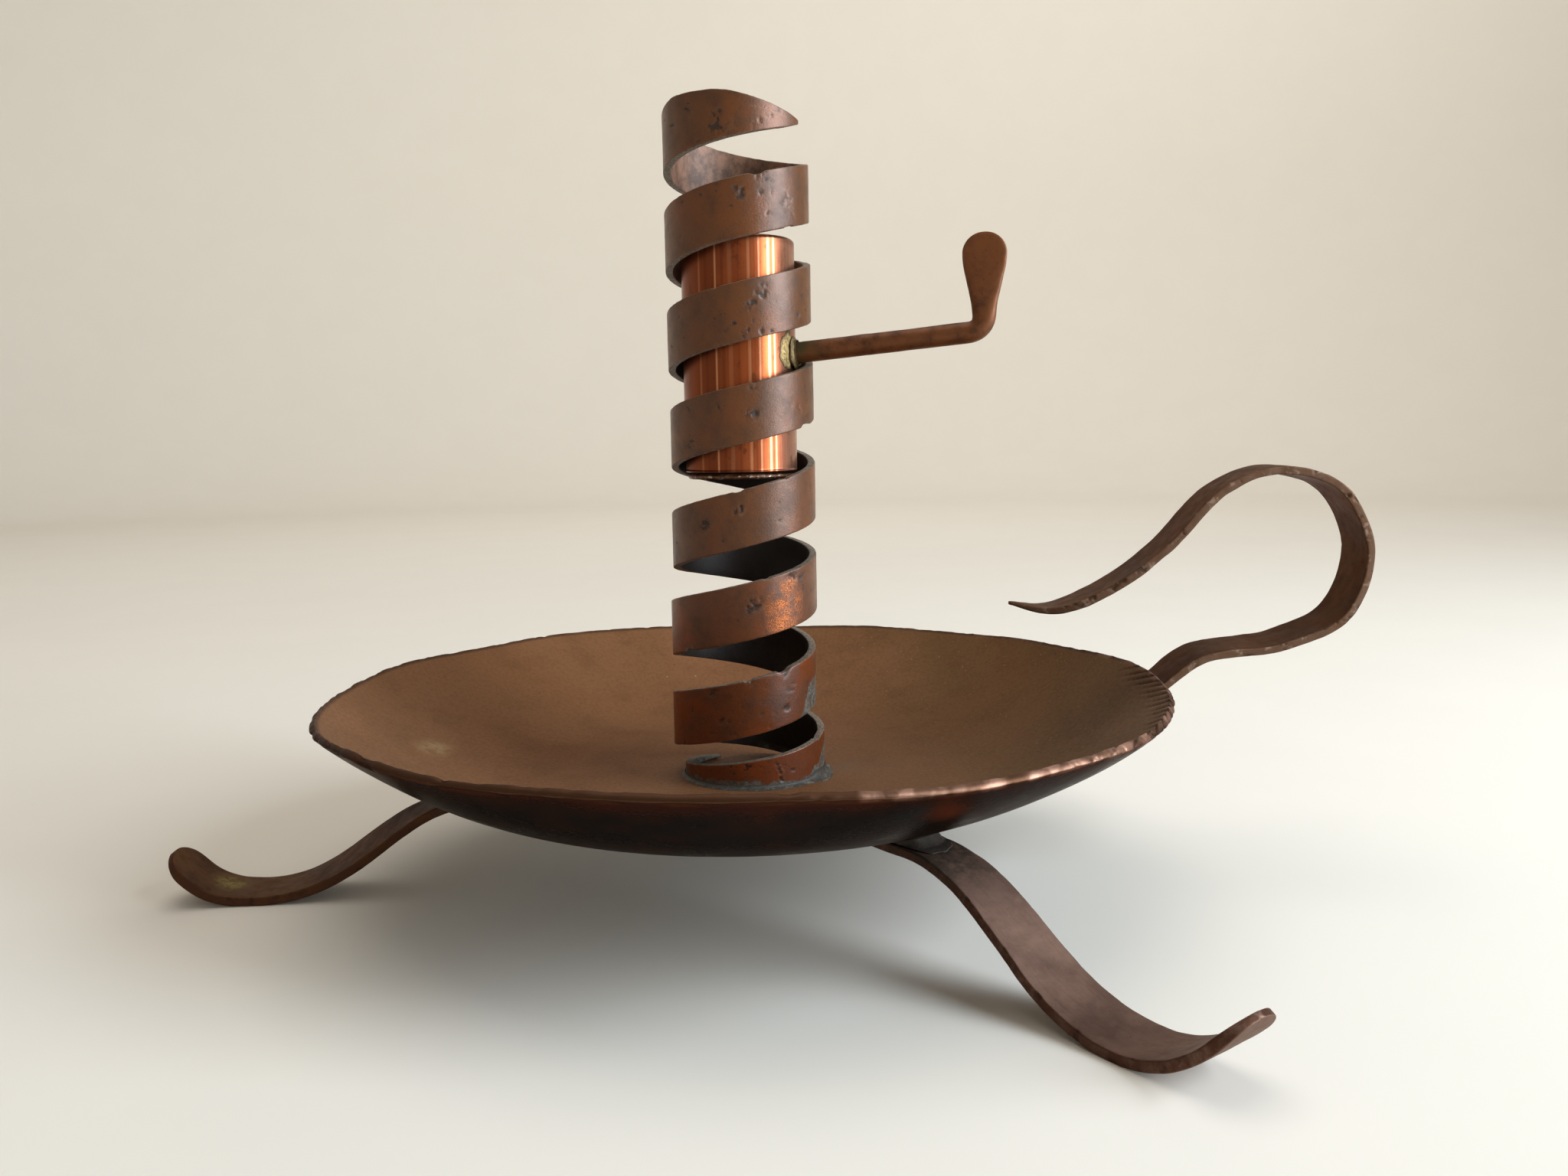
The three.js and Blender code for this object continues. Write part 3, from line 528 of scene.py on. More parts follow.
# Pits in the band: turns from +X, rise above the band's foot and radius in millimetres, depth share and how
# ragged it is
BAND_PITS = (
    (7.714, 3.0, 2.2, 0.7, 1.0), (7.722, 2.0, 1.2, 0.6, 1.0), (7.641, 7.0, 1.3, 0.45, 0.8),
    (7.555, 7.6, 1.0, 0.5, 0.6), (7.80, 1.6, 0.8, 0.4, 1.0), (7.826, 2.2, 0.6, 0.4, 1.0),
    (6.756, 8.1, 1.5, 0.8, 1.0), (6.748, 8.9, 0.7, 0.7, 0.4), (6.803, 7.3, 0.55, 1.0, 0.3),
    (6.831, 6.9, 0.4, 0.4, 0.4), (6.875, 7.5, 0.5, 0.4, 0.5), (6.673, 9.5, 0.35, 0.6, 0.2),
    (6.819, 3.4, 0.5, 0.5, 0.7), (6.826, 3.0, 0.35, 0.5, 0.4), (6.557, 2.3, 1.0, 0.4, 1.0),
    (6.866, 4.2, 2.0, 0.35, 1.0), (6.80, 10.2, 1.4, 0.5, 1.0),
    (5.767, 6.1, 1.0, 0.8, 1.0), (5.777, 7.0, 1.2, 0.9, 1.0), (5.799, 8.1, 1.5, 0.8, 1.0),
    (5.809, 8.4, 0.7, 0.6, 0.8), (5.736, 3.4, 0.6, 0.9, 0.6), (5.761, 1.5, 0.9, 0.9, 0.8),
    (5.794, 0.9, 0.6, 0.7, 0.6), (5.822, 0.8, 0.5, 0.7, 0.5), (5.849, 0.5, 0.5, 0.7, 0.5),
    (5.897, 2.6, 0.6, 0.6, 0.5), (4.771, 5.1, 1.4, 0.9, 1.0), (4.776, 4.4, 0.8, 0.7, 0.9),
    (4.886, 3.7, 1.3, 0.35, 1.0), (4.775, 10.2, 0.9, 0.5, 0.9), (4.637, 3.1, 0.4, 0.4, 0.5),
    (4.63, 2.4, 1.6, 0.5, 1.0), (4.917, 1.0, 0.9, 0.6, 0.9), (4.70, 7.8, 1.2, 0.3, 1.0),
    (3.739, 7.5, 1.05, 1.0, 0.45), (3.661, 6.1, 1.3, 0.5, 1.0), (3.70, 2.2, 0.5, 0.4, 0.6),
    (2.769, 6.5, 1.5, 0.9, 1.0), (2.757, 5.5, 0.9, 0.8, 1.0), (2.891, 9.2, 1.3, 0.6, 1.0),
    (1.846, 3.3, 0.7, 1.0, 0.2), (1.818, 2.5, 0.4, 0.3, 0.5), (1.84, 10.6, 1.2, 0.7, 0.9),
    (1.759, 10.6, 0.9, 0.6, 0.9), (1.685, 10.2, 1.3, 0.4, 1.0), (0.836, 3.0, 0.4, 1.0, 0.3),
    (1.70, 4.1, 0.6, 0.4, 0.8), (0.735, 4.2, 1.1, 0.4, 1.0),
)

# Cracks in the band as (turns, rise in millimetres) from one end to the other, and how dark; below 0 is pale
BAND_CRACKS = (((0.793, 4.6), (0.806, 0.9), 0.9), ((6.858, 7.2), (6.893, 1.6), -0.3),
               ((0.800, 4.6), (0.812, 1.4), -0.3), ((7.78, 4.6), (7.87, 1.7), -0.2),
               ((6.845, 5.2), (6.89, 1.2), 0.3))

# Chips in the band's edges: turns, 1 for the upper edge or -1 for the lower, width and depth in millimetres
BAND_CHIPS = ((6.797, 1, 1.7, 0.5), (6.884, -1, 1.1, 0.3), (6.868, -1, 0.8, 0.2), (4.924, -1, 1.6, 0.5),
              (4.906, -1, 0.8, 0.45), (1.842, 1, 1.5, 0.6), (1.760, 1, 1.0, 0.4), (0.985, 1, 1.2, 0.7),
              (0.93, 1, 1.0, 0.3), (7.30, -1, 1.2, 0.3), (2.62, -1, 1.0, 0.35), (3.85, 1, 0.9, 0.25),
              (3.737, 1, 1.1, 0.3), (5.70, 1, 0.8, 0.2), (4.78, 1, 0.9, 0.25), (2.80, 1, 0.8, 0.2))

# Turn of the rubbed patch's middle and of the solder lump near it, and rise in millimetres of the patch
RUB_TURN, HEEL_TURN, RUB_RISE = 2.842, 2.612, 4.2

# Streaks along the drawn sleeve: azimuth and half width in degrees, strength. Bright lines (strength above 0)
# are painted highlights on the streaks; dark lines are darker streaks
SLEEVE_STREAKS_AND_HIGHLIGHTS = ((246.9, 1.2, 0.7), (254, 1.6, -0.6), (262, 2.4, 0.35), (270, 1.2, -0.5), (280.2, 1.4, 0.6),
                (286, 1.0, -0.5), (291, 1.3, 0.7), (296.4, 0.9, -0.4), (301.2, 1.5, 1.0), (304.6, 0.8, -0.6),
                (307.6, 1.3, 0.9), (313, 1.0, -0.4), (236, 2.0, -0.5), (228, 1.6, 0.4), (322, 2.0, 0.3),
                (332, 1.2, -0.3))


# Pale stain on the left leg's toe: its middle and half widths in millimetres, and its turn in degrees
LEG_STAIN = ((-109.6, -8, 3), (5.5, 5.5, 4), 3)


def waves(parts, turn):
    """Sum of share * sin(number * turn + phase)."""
    return sum(share * np.sin(number * turn + phase) for number, phase, share in parts)


def flare(dish, share):
    """Middle line of the dish's flare as radius and height, and its direction outwards: a cubic Bezier
    curve from the edge of the flat floor to the lip."""
    floor_hold, lip_in, lip_down = 12 * MM, 9.5 * MM, 8 * MM
    floor = dish.rim_height - dish.depth - dish.wall / 2
    lip = dish.rim_height - dish.wall / 2
    return bezier([(dish.floor_radius, floor), (dish.floor_radius + floor_hold, floor),
                   (dish.rim_radius - lip_in, lip - lip_down), (dish.rim_radius - dish.wall / 2, lip)], share)


def dish_outline(dish):
    """Closed outline of the dish in radius and height, from the middle of its underside out along the
    flare, round the lip as half an ellipse and back to the middle of its floor. Returns its points, their
    outward normals, how much each belongs to the outside and how much to the lip."""
    floor, hub = dish.rim_height - dish.depth, 0.4 * MM
    middle, along = flare(dish, np.sin(np.linspace(0, math.pi / 2, 40)))
    inward, half = left_of(along), dish.wall / 2
    bend = np.linspace(-math.pi / 2, math.pi / 2, 13)[1:-1, None]
    lip = middle[-1] + inward[-1] * half * np.sin(bend) + along[-1] * half / 2 * np.cos(bend)
    lip_normal = inward[-1] * np.sin(bend) / 2 + along[-1] * np.cos(bend)
    below = np.linspace(hub, dish.floor_radius, 8)[:-1, None]
    above = np.linspace(dish.floor_radius, hub, 14)[1:, None]
    points = np.vstack([np.hstack([below, below * 0 + floor - dish.wall]), middle - inward * half, lip,
                        (middle + inward * half)[::-1], np.hstack([above, above * 0 + floor])])
    normals = np.vstack([below * (0, 0) + (0, -1), -inward, lip_normal, inward[::-1],
                         above * (0, 0) + (0, 1)])
    normals /= np.linalg.norm(normals, axis=1, keepdims=True)
    outside = np.r_[np.ones(len(below) + len(middle)), (1 - np.sin(bend[:, 0])) / 2,
                    np.zeros(len(middle) + len(above))]
    reach = np.linalg.norm(points - middle[-1], axis=1)
    return points, normals, outside, 1 - smooth(reach, half, half + 0.5 * MM)


def beaten_dish(dish):
    """Dish as its outline turned round the axis, with closer columns where the chisel cuts are. The rim's
    slow waves and a fine unevenness fade in from the flat floor, and small hollows follow the edge. Each
    cut is a groove across the rim, slanted against the flare, with a raised fold beside it."""
    columns, rim = 870, dish.rim_radius
    cuts_middle, cuts_half, left_side, left_half = -0.35, 0.85, 3.45, 1.0
    outline, normals, outside, lip = dish_outline(dish)
    even = np.linspace(-math.pi, math.pi, 2000)
    crowd = np.cumsum(1 + 2 * smooth(cuts_half - np.abs(even - cuts_middle), 0, 0.3))
    turn = np.interp(np.arange(columns) / columns, (crowd - crowd[0]) / (crowd[-1] - crowd[0]), even)[None, :]
    radius, height = outline[:, :1] * np.ones_like(turn), outline[:, 1:] * np.ones_like(turn)
    place = round_axis(radius, turn, height)
    dip = dish.planish * (rough(place, 11 * MM, seed=3, layers=2) - 1) / 2
    dip = dip * smooth(outline[:, :1], 30 * MM, 50 * MM)
    edge = flat_place(turn * rim, 0)
    left = smooth(left_half - np.abs((turn + TURN) % TURN - left_side), 0, 0.5)
    hollow = np.clip(rough(edge, 2.6 * MM, seed=15, layers=2) + 0.3, 0, 1.2) * lerp(0.5, 1.2, left)
    nicks = np.maximum(rough(place, 1.9 * MM, seed=9) - 0.4, 0) * 0.35 * MM + dish.scallop * hollow
    cut, fold = np.zeros_like(radius), np.zeros_like(radius)
    for azimuth, depth, run in RIM_CUTS:
        side = (turn - math.radians(azimuth)) * rim + CUT_SLANT * (radius - rim + 2 * MM)
        side = side / math.hypot(1, CUT_SLANT)
        inward = smooth(radius, rim - (run + 2.2) * MM, rim - (1.6 + 0.35 * run) * MM)
        cut = np.maximum(cut, depth * inward * tent(side, CUT_HALF))
        fold = np.maximum(fold, depth * inward * tent(side - FOLD_BESIDE, FOLD_HALF))
    upper = 1 - 0.8 * outside[:, None]
    shift = dip - nicks * lip[:, None] - dish.cut_depth * cut * upper
    radius = radius + normals[:, :1] * shift
    height = height + normals[:, 1:] * shift
    share = smooth(radius, rim - dish.beaten, rim)
    height = height + share * dish.lift * waves(RIM_LIFT_WAVES, turn)
    radius = radius + share * dish.swell * waves(RIM_SWELL_WAVES, turn)
    patches = np.clip(0.75 + 0.6 * rough(edge, 4.2 * MM, seed=27, layers=2), 0, 1)
    return round_axis(radius, turn, height), {
        "outside": outside[:, None], "lip": lip[:, None], "cut": cut * upper, "fold": fold * upper,
        "rubbed_and_lit": eased_table(RIM_RUBBED_AND_LIT, np.degrees(turn)) * patches}


def band_top(spiral, turn):
    """Height of the band's upper edge. It climbs one pitch a turn above the even turn; below it the base
    coil is closed up by a square term, so that the edge leaves the dish at the first turn."""
    pitch = spiral.band + spiral.slot
    closed = spiral.even_turn - spiral.first_turn
    closing = (pitch * closed - (spiral.even_height - spiral.land)) / closed ** 2
    low = np.maximum(0, spiral.even_turn - turn)
    return TUBE_FOOT + spiral.even_height + pitch * (turn - spiral.even_turn) + closing * low ** 2


def crest_and_tip(spiral):
    """Turns at which the square top ends and at which the rounded tip ends."""
    pitch = spiral.band + spiral.slot
    cut = spiral.even_turn + (TUBE_TOP - TUBE_FOOT - spiral.even_height) / pitch
    crest = cut + spiral.square_run / (math.pi * spiral.diameter)
    return crest, crest + spiral.tip_run / (math.pi * spiral.diameter)


def band_edges(spiral, turn):
    """Lower and upper edge of the band: the slot's two edges with their drift, held between the dish and
    the tube's top. The top is square up to the crest and then filed down to the tip, by
    sqrt((share - knee)^2 + ease^2) + share, scaled to reach the tip."""
    crest, tip = crest_and_tip(spiral)
    share = np.clip((turn - crest) / (tip - crest), 0, 1)
    start, end = (math.hypot(at - spiral.tip_knee, spiral.tip_ease) + at for at in (0, 1))
    filed = (np.hypot(share - spiral.tip_knee, spiral.tip_ease) + share - start) / (end - start)
    tip_height = float(band_top(spiral, tip)) - spiral.band + spiral.land
    top = TUBE_TOP - (TUBE_TOP - tip_height) * filed
    edge = band_top(spiral, turn) + eased_table(BAND_DRIFT, turn) * MM
    low = np.maximum(TUBE_FOOT, edge - spiral.band)
    return low, np.maximum(low + spiral.land, np.minimum(edge, top))


def band_pits(arc, rise, girth, broken, jag):
    """Depth of the pits and cracks, and the pale lines beside them, from the way round and the rise. A pit
    is 1.3 - distance^2, broken up by noise; the side of it that meets the light is pale."""
    crack_bow, crack_half = 0.35 * MM, 0.15 * MM
    pit, pale = np.zeros_like(rise), np.zeros_like(rise)
    for place, up, reach, depth, ragged in BAND_PITS:
        far = np.hypot(arc - place * girth + jag, rise - up * MM + jag) / (reach * MM)
        hole = np.clip(1.3 - far ** 2, 0, 1) * np.clip(lerp(1, 0.1 + 2.2 * broken, ragged), 0, 1)
        pit = np.maximum(pit, depth * hole)
        lit = tent(far - 1.25, 0.3) * (arc > place * girth) * (rise < up * MM)
        pale = np.maximum(pale, 0.3 * depth * (1 - 0.7 * ragged) * lit)
    for (turn_a, rise_a), (turn_b, rise_b), dark in BAND_CRACKS:
        share = np.clip((rise - rise_a * MM) / ((rise_b - rise_a) * MM), 0, 1)
        bow = crack_bow * np.sin(math.pi * share)
        far = np.hypot(arc - lerp(turn_a, turn_b, share) * girth - bow + jag,
                       rise - lerp(rise_a, rise_b, share) * MM)
        line = np.clip(1.3 - far / crack_half, 0, 1)
        pit, pale = np.maximum(pit, line * dark), np.maximum(pale, -line * dark)
    return pit, pale


def band_solder(turn, rise, outer, arc, girth, clots):
    """Solder that climbed the base coil, lies along its foot, sits at the end of the coil above and in a
    lump under the third, and lines the inside: each a zone in turns and rise with a ragged border."""
    coat_start, coat_end, join_start, join_end, inside_end = 0.862, 1.25, 1.888, 2.1, 0.85
    coat = (smooth(turn - (coat_start + 0.018 * rise / MM + 0.012 * clots), -0.008, 0.008)
            * smooth(coat_end + 0.03 * clots - 0.02 * rise / MM - turn, 0, 0.05))
    foot = smooth(1.2 * MM - rise - 0.5 * MM * clots, 0, 0.5 * MM) * smooth(coat_end - turn, 0, 0.05)
    join = (smooth(turn - (join_start + 0.006 * rise / MM + 0.006 * clots), -0.008, 0.008)
            * smooth(join_end - turn, 0, 0.06) * smooth(6.5 * MM - rise, 0, 2 * MM))
    heel = spot(arc - HEEL_TURN * girth, rise, (0, 0), (2.6 * MM, 0.9 * MM), 0.6)
    within = smooth(inside_end - turn, 0, 0.1) * (1 - outer)
    return np.maximum.reduce([coat * outer, foot, join * outer, heel, within])


def band_marks(spiral, turn, rise, outer):
    """Marks of a used band, from turns and rise: depth of its pits, pale lines, a rubbed patch at the front
    of the second turn with a worn arch round it, and solder crust near the foot."""
    girth = math.pi * spiral.diameter
    arc = turn * girth
    flat = flat_place(arc, rise)
    broken, clots = rough(flat, 0.6 * MM, seed=31), rough(flat, 1.7 * MM, seed=33)
    pit, pale = band_pits(arc, rise, girth, broken, 0.25 * MM * rough(flat, 1.1 * MM, seed=35))
    from_rub = arc - RUB_TURN * girth
    rub = spot(from_rub, rise, (0, RUB_RISE * MM), (4.6 * MM, 7 * MM), 0.6)
    arch = tent(np.hypot(from_rub / (5 * MM), (rise - 3.5 * MM) / (6.8 * MM)) - 1, 0.16)
    arch = arch * smooth(rise, 4 * MM, 7 * MM) * np.clip(0.2 + 2 * clots, 0, 1)
    crust = band_solder(turn, rise, outer, arc, girth, clots)
    return {"pit": np.maximum(pit, 0.6 * arch) * outer, "pale": pale * outer,
            "rub": rub * outer * np.clip(0.7 + 0.6 * clots, 0, 1),
            "crust": np.clip(crust * (1.2 + broken), 0, 1)}


def coil_spread(turn):
    """How much wider than the tube a coil is, and how far it stands towards +X, at a turn."""
    return eased_table(BAND_SPREAD, turn) * MM, eased_table(BAND_SHIFT, turn) * MM


def helical_band(spiral):
    """Band of the slotted tube: a rounded box section, wall by band height, carried along the helix.
    Sections stand closer at the front. Pits sink the outside, chips take the edges, both edges are
    slightly ragged, and the lower coils stand a little off the axis."""
    _, tip = crest_and_tip(spiral)
    girth = math.pi * spiral.diameter
    sections, closer, front = 1500, 0.45, 0.75
    upper_wear, lower_wear, pit_depth, grain_depth, sag = 0.06, 0.05, 0.22, 0.06, 0.03
    even = np.linspace(spiral.first_turn, tip, sections)
    turn = even - closer * np.sin(TURN * (even - front)) / TURN
    turn = spiral.first_turn + (turn - turn[0]) * (tip - spiral.first_turn) / (turn[-1] - turn[0])
    turn = turn[:, None]
    low, high = band_edges(spiral, turn)
    for place, side, width, depth in BAND_CHIPS:
        chip = depth * MM * np.clip(1 - ((turn - place) * girth / (width * MM)) ** 2, 0, 1)
        low, high = low + chip * (side < 0), high - chip * (side > 0)
    high = high - np.abs(rough(flat_place(turn * girth, 0), 1.6 * MM, seed=21)) * upper_wear * MM
    low = low + np.abs(rough(flat_place(turn * girth, 9 * MM), 1.9 * MM, seed=23)) * lower_wear * MM
    radius = np.minimum(spiral.edge, (high - low) * 0.4)
    x, y, out_x, out_y = rounded_box(spiral.wall - 0.02 * MM, high - low, radius, up=34, across=4, back=8)
    outer, inner, cut = np.clip(out_x, 0, 1), np.clip(-out_x, 0, 1), np.abs(out_y) ** 3
    height = (low + high) / 2 + y
    marks = band_marks(spiral, turn * np.ones_like(height), height - low, outer)
    flat = flat_place(turn * girth, height)
    scatter = np.clip(rough(flat, 1.3 * MM, seed=41, layers=2) - 0.8, 0, 1) * 2 * outer
    uneven = (1 - rough(flat, 6 * MM, seed=5)) * sag * MM * outer
    dip = marks["pit"] * pit_depth * MM + scatter * grain_depth * MM + uneven
    marks.update(inner=inner, cut=cut, pit=np.maximum(marks["pit"], 0.5 * scatter))
    wider, shift = coil_spread(turn)
    points = round_axis(spiral.diameter / 2 - spiral.wall / 2 + x - dip + wider, TURN * turn, height)
    points[..., 0] += shift
    return points, marks


def sleeve_radius(spiral, lift):
    return spiral.diameter / 2 - spiral.wall - lift.sleeve_play


def drawn_sleeve(spiral, lift):
    """Sleeve as a closed outline turned round the axis: up the outside, round the rolled upper rim, over
    the square inner corner, down the bore and back under the lower end. Streaks along it, whose bright ones
    are painted highlights, are marked by their azimuths."""
    reach, wall, rim, edge = sleeve_radius(spiral, lift), lift.sleeve_wall, lift.sleeve_rim, lift.sleeve_edge
    arc = np.linspace(0, math.pi / 2, 10)
    up = np.linspace(SLEEVE_FOOT + edge, SLEEVE_TOP - rim, 110)
    down = np.linspace(SLEEVE_TOP - 0.1 * MM, SLEEVE_FOOT, 60)
    outside = np.stack([np.full_like(up, reach), up], -1)
    rolled = np.stack([reach - rim * (1 - np.cos(arc)), SLEEVE_TOP - rim * (1 - np.sin(arc))], -1)[1:]
    corner = [(reach - wall + 0.03 * MM, SLEEVE_TOP - 0.02 * MM)]
    bore = np.stack([np.full_like(down, reach - wall), down], -1)
    arc = arc[::-3]
    lower = np.stack([reach - edge * (1 - np.cos(arc)), SLEEVE_FOOT + edge * (1 - np.sin(arc))], -1)
    outline = np.vstack([outside, rolled, corner, bore, lower])
    turn = once_round(320)
    inner = np.zeros((len(outline), 1))
    inner[len(outside) + len(rolled):len(outline) - len(lower)] = 1
    streaks_and_highlights = np.zeros_like(turn)
    for azimuth, half, strength in SLEEVE_STREAKS_AND_HIGHLIGHTS:
        far = (np.degrees(turn) - azimuth + 180) % 360 - 180
        streaks_and_highlights = streaks_and_highlights + strength * smooth(half - np.abs(far), -0.3, 0.4)
    upper = smooth(outline[:, 1:], SLEEVE_TOP - 2.2 * MM, SLEEVE_TOP - 0.6 * MM)
    return round_axis(outline[:, :1], turn, outline[:, 1:]), {
        "inner": inner, "streaks_and_highlights": streaks_and_highlights, "upper_rim": upper}


def ragged_seat(spiral, lift):
    """Seat disc: a flat box outline turned round the axis, its rim cut back here and there by noise."""
    reach = sleeve_radius(spiral, lift) - lift.seat_inset
    face = sleeve_radius(spiral, lift) - lift.sleeve_wall - SEAT_GAP
    bevel = (SEAT_TOP - SEAT_FOOT) / 3
    middle = 0.2 * MM
    sides = (((middle, SEAT_FOOT), (reach - bevel, SEAT_FOOT), 24),
             ((reach, SEAT_FOOT + bevel), (reach, SEAT_TOP - bevel), 6),
             ((face, SEAT_TOP), (middle, SEAT_TOP), 24))
    outline = np.vstack([lerp(np.array(start), np.array(end), shares(count)) for start, end, count in sides])
    turn = once_round(240)
    bite = np.maximum(rough(flat_place(turn * reach, 0), 3 * MM, seed=17), -0.2) + 0.2
    radius = outline[:, :1] - smooth(outline[:, :1], face, reach) * bite * 0.35 * MM
    return round_axis(radius, turn, outline[:, 1:]), {"rim": smooth(radius, face - 1 * MM, reach)}


def lever_root(spiral, lift):
    """Height of the lever's centre at the sleeve, such that it clears the band it rides on."""
    inner = spiral.diameter / 2 - spiral.wall
    slope = (spiral.band + spiral.slot) / (TURN * inner)
    on_band = lift.lever_diameter / 2 * math.hypot(1, slope)
    outward = (inner + spiral.wall / 2 - sleeve_radius(spiral, lift)) * math.tan(lift.lever_rise)
    return float(band_top(spiral, lift.lever_turn)) + on_band + lift.ride_gap - outward


def bent_lever(spiral, lift):
    """Rod and paddle: rounded sections carried out on a slight rise, round a short bend and up. The round
    rod flattens to the neck, spreads to the paddle and closes in a rounded end. A section's points are
    signed powers of the cosine and sine, which square it where the power is small."""
    root, start, slope = sleeve_radius(spiral, lift), lever_root(spiral, lift), math.tan(lift.lever_rise)
    least, crowding, square = 0.9 * MM, 0.3, 0.26
    corner = start + (lift.lever_reach - root) * slope
    bend = lift.lever_bend
    turn_in = np.array([lift.lever_reach - bend, corner - bend * slope])
    share = shares(60)
    curve = ((1 - share) ** 2 * turn_in + 2 * share * (1 - share) * np.array([lift.lever_reach, corner])
             + share ** 2 * np.array([lift.lever_reach, corner + bend]))
    first = np.array([root + SEAT_GAP, start + SEAT_GAP * slope])
    rod = lerp(first, turn_in, np.linspace(0, 1, 60, endpoint=False)[:, None])
    stem = lerp(curve[-1], np.array([lift.lever_reach, corner + lift.paddle_height]), shares(60)[1:])
    place, along, far = even_path(np.vstack([rod, curve, stem]), 250, lift.paddle_round, end_steps=40)
    above = np.where(place[:, 0] > turn_in[0], place[:, 1] - corner, 0)
    widest = lift.paddle_height - lift.paddle_round
    to_neck = np.clip(above / lift.neck_height, 0, 1)
    to_blade = smooth(above, lift.neck_height * 0.6, widest)
    closing = np.sqrt(1 - np.clip((above - widest) / lift.paddle_round, 0, 0.998) ** 2)
    width = lerp(lerp(lift.lever_diameter, lift.neck_width, to_neck), lift.paddle_width, to_blade) * closing
    thick = lerp(lerp(lift.lever_diameter, lift.neck_thickness, to_neck), lift.paddle_thickness, to_blade)
    thick = np.maximum(thick, least) * closing ** 0.5
    around = once_round(96)
    around = around - crowding * np.sin(2 * around) * np.maximum(to_neck, to_blade)[:, None]
    boxy = lerp(1, square, np.maximum(to_neck * 0.7, to_blade))[:, None]
    cos, sin = np.cos(around), np.sin(around)
    beat = 1 - 0.05 * (1 + rough(flat_place(far[:, None], around * 2 * MM), 4.5 * MM, seed=51)) / 2
    across = np.sign(cos) * np.abs(cos) ** lerp(1, boxy, 0.7) * width[:, None] / 2 * beat
    deep = np.sign(sin) * np.abs(sin) ** boxy * thick[:, None] / 2 * beat
    points = np.stack([place[:, :1] - along[:, 1:] * across, deep, place[:, 1:] + along[:, :1] * across], -1)
    return face_out(points, TURN * lift.lever_turn), {
        "edge": np.abs(cos) ** 8 * to_neck[:, None], "blade": to_blade[:, None],
        "root": 1 - smooth(far[:, None], 1 * MM, 7 * MM)}


def braze_collar(spiral, lift):
    """Collar round the lever: a ring section thick at the sleeve and thin outwards, with soft lumps."""
    bore, hollow = lift.lever_diameter / 2 + SEAT_GAP, 0.9
    root = sleeve_radius(spiral, lift) + SEAT_GAP
    end = spiral.diameter / 2 - spiral.wall - lift.ride_gap
    share = shares(12)
    thick_end, thin_end = np.array([bore + lift.braze_wall, root]), np.array([bore + lift.braze_land, end])
    crown = lerp(thick_end, thin_end, share) - np.hstack([share * (1 - share) * hollow * MM, share * 0])
    back = lerp(np.array([bore, end]), np.array([bore, root]), shares(5))
    face = lerp(np.array([bore, root]), thick_end, shares(5)[1:-1])
    outline = np.vstack([crown, back, face])
    around = once_round(72)
    thick = smooth(outline[:, :1], bore, bore + 0.4 * MM)
    dip = thick * (1 - rough(flat_place(outline[:, 1:], around * 3 * MM), 1.6 * MM, seed=61)) * 0.16 * MM
    radius = np.maximum(outline[:, :1] - dip, bore)
    tilt = lift.lever_rise
    side, up, out = radius * np.cos(around), radius * np.sin(around), outline[:, 1:] * np.ones_like(around)
    points = np.stack([out * math.cos(tilt) - up * math.sin(tilt), side,
                       out * math.sin(tilt) + up * math.cos(tilt) + lever_root(spiral, lift)
                       - sleeve_radius(spiral, lift) * math.tan(tilt)], -1)
    return face_out(points, TURN * lift.lever_turn), {"thick": 0.3 * thick}


def braze_smear(spiral, lift):
    """Braze that ran onto the sleeve beside the lever: rings of an ellipse in angle and height, closing to
    its middle, whose outside stands off the sleeve by 1 - distance^2 and whose back lies on the sleeve."""
    base = sleeve_radius(spiral, lift) + 0.01 * MM
    middle = TURN * lift.lever_turn + lift.smear_side
    height = lever_root(spiral, lift) + 0.2 * MM
    side = once_round(72)
    far = np.r_[np.linspace(0.02, 1, 26), np.linspace(1, 0.02, 10)[1:]][:, None]
    front = np.r_[np.ones(26), np.zeros(9)][:, None]
    ragged = 1 + 0.13 * rough(flat_place(np.cos(side), np.sin(side)), 0.5, seed=65)
    along, up = far * ragged * np.cos(side) * lift.smear_wide, far * ragged * np.sin(side) * lift.smear_tall
    lumpy = 1 + 0.35 * rough(flat_place(along, up), 1.3 * MM, seed=67)
    radius = base + front * lift.smear_thick * (1 - far ** 2) * lumpy
    points = round_axis(radius, middle + along / base, height + up)
    return points, {"thick": np.clip(1.6 * front * (1 - far ** 2), 0, 1)}


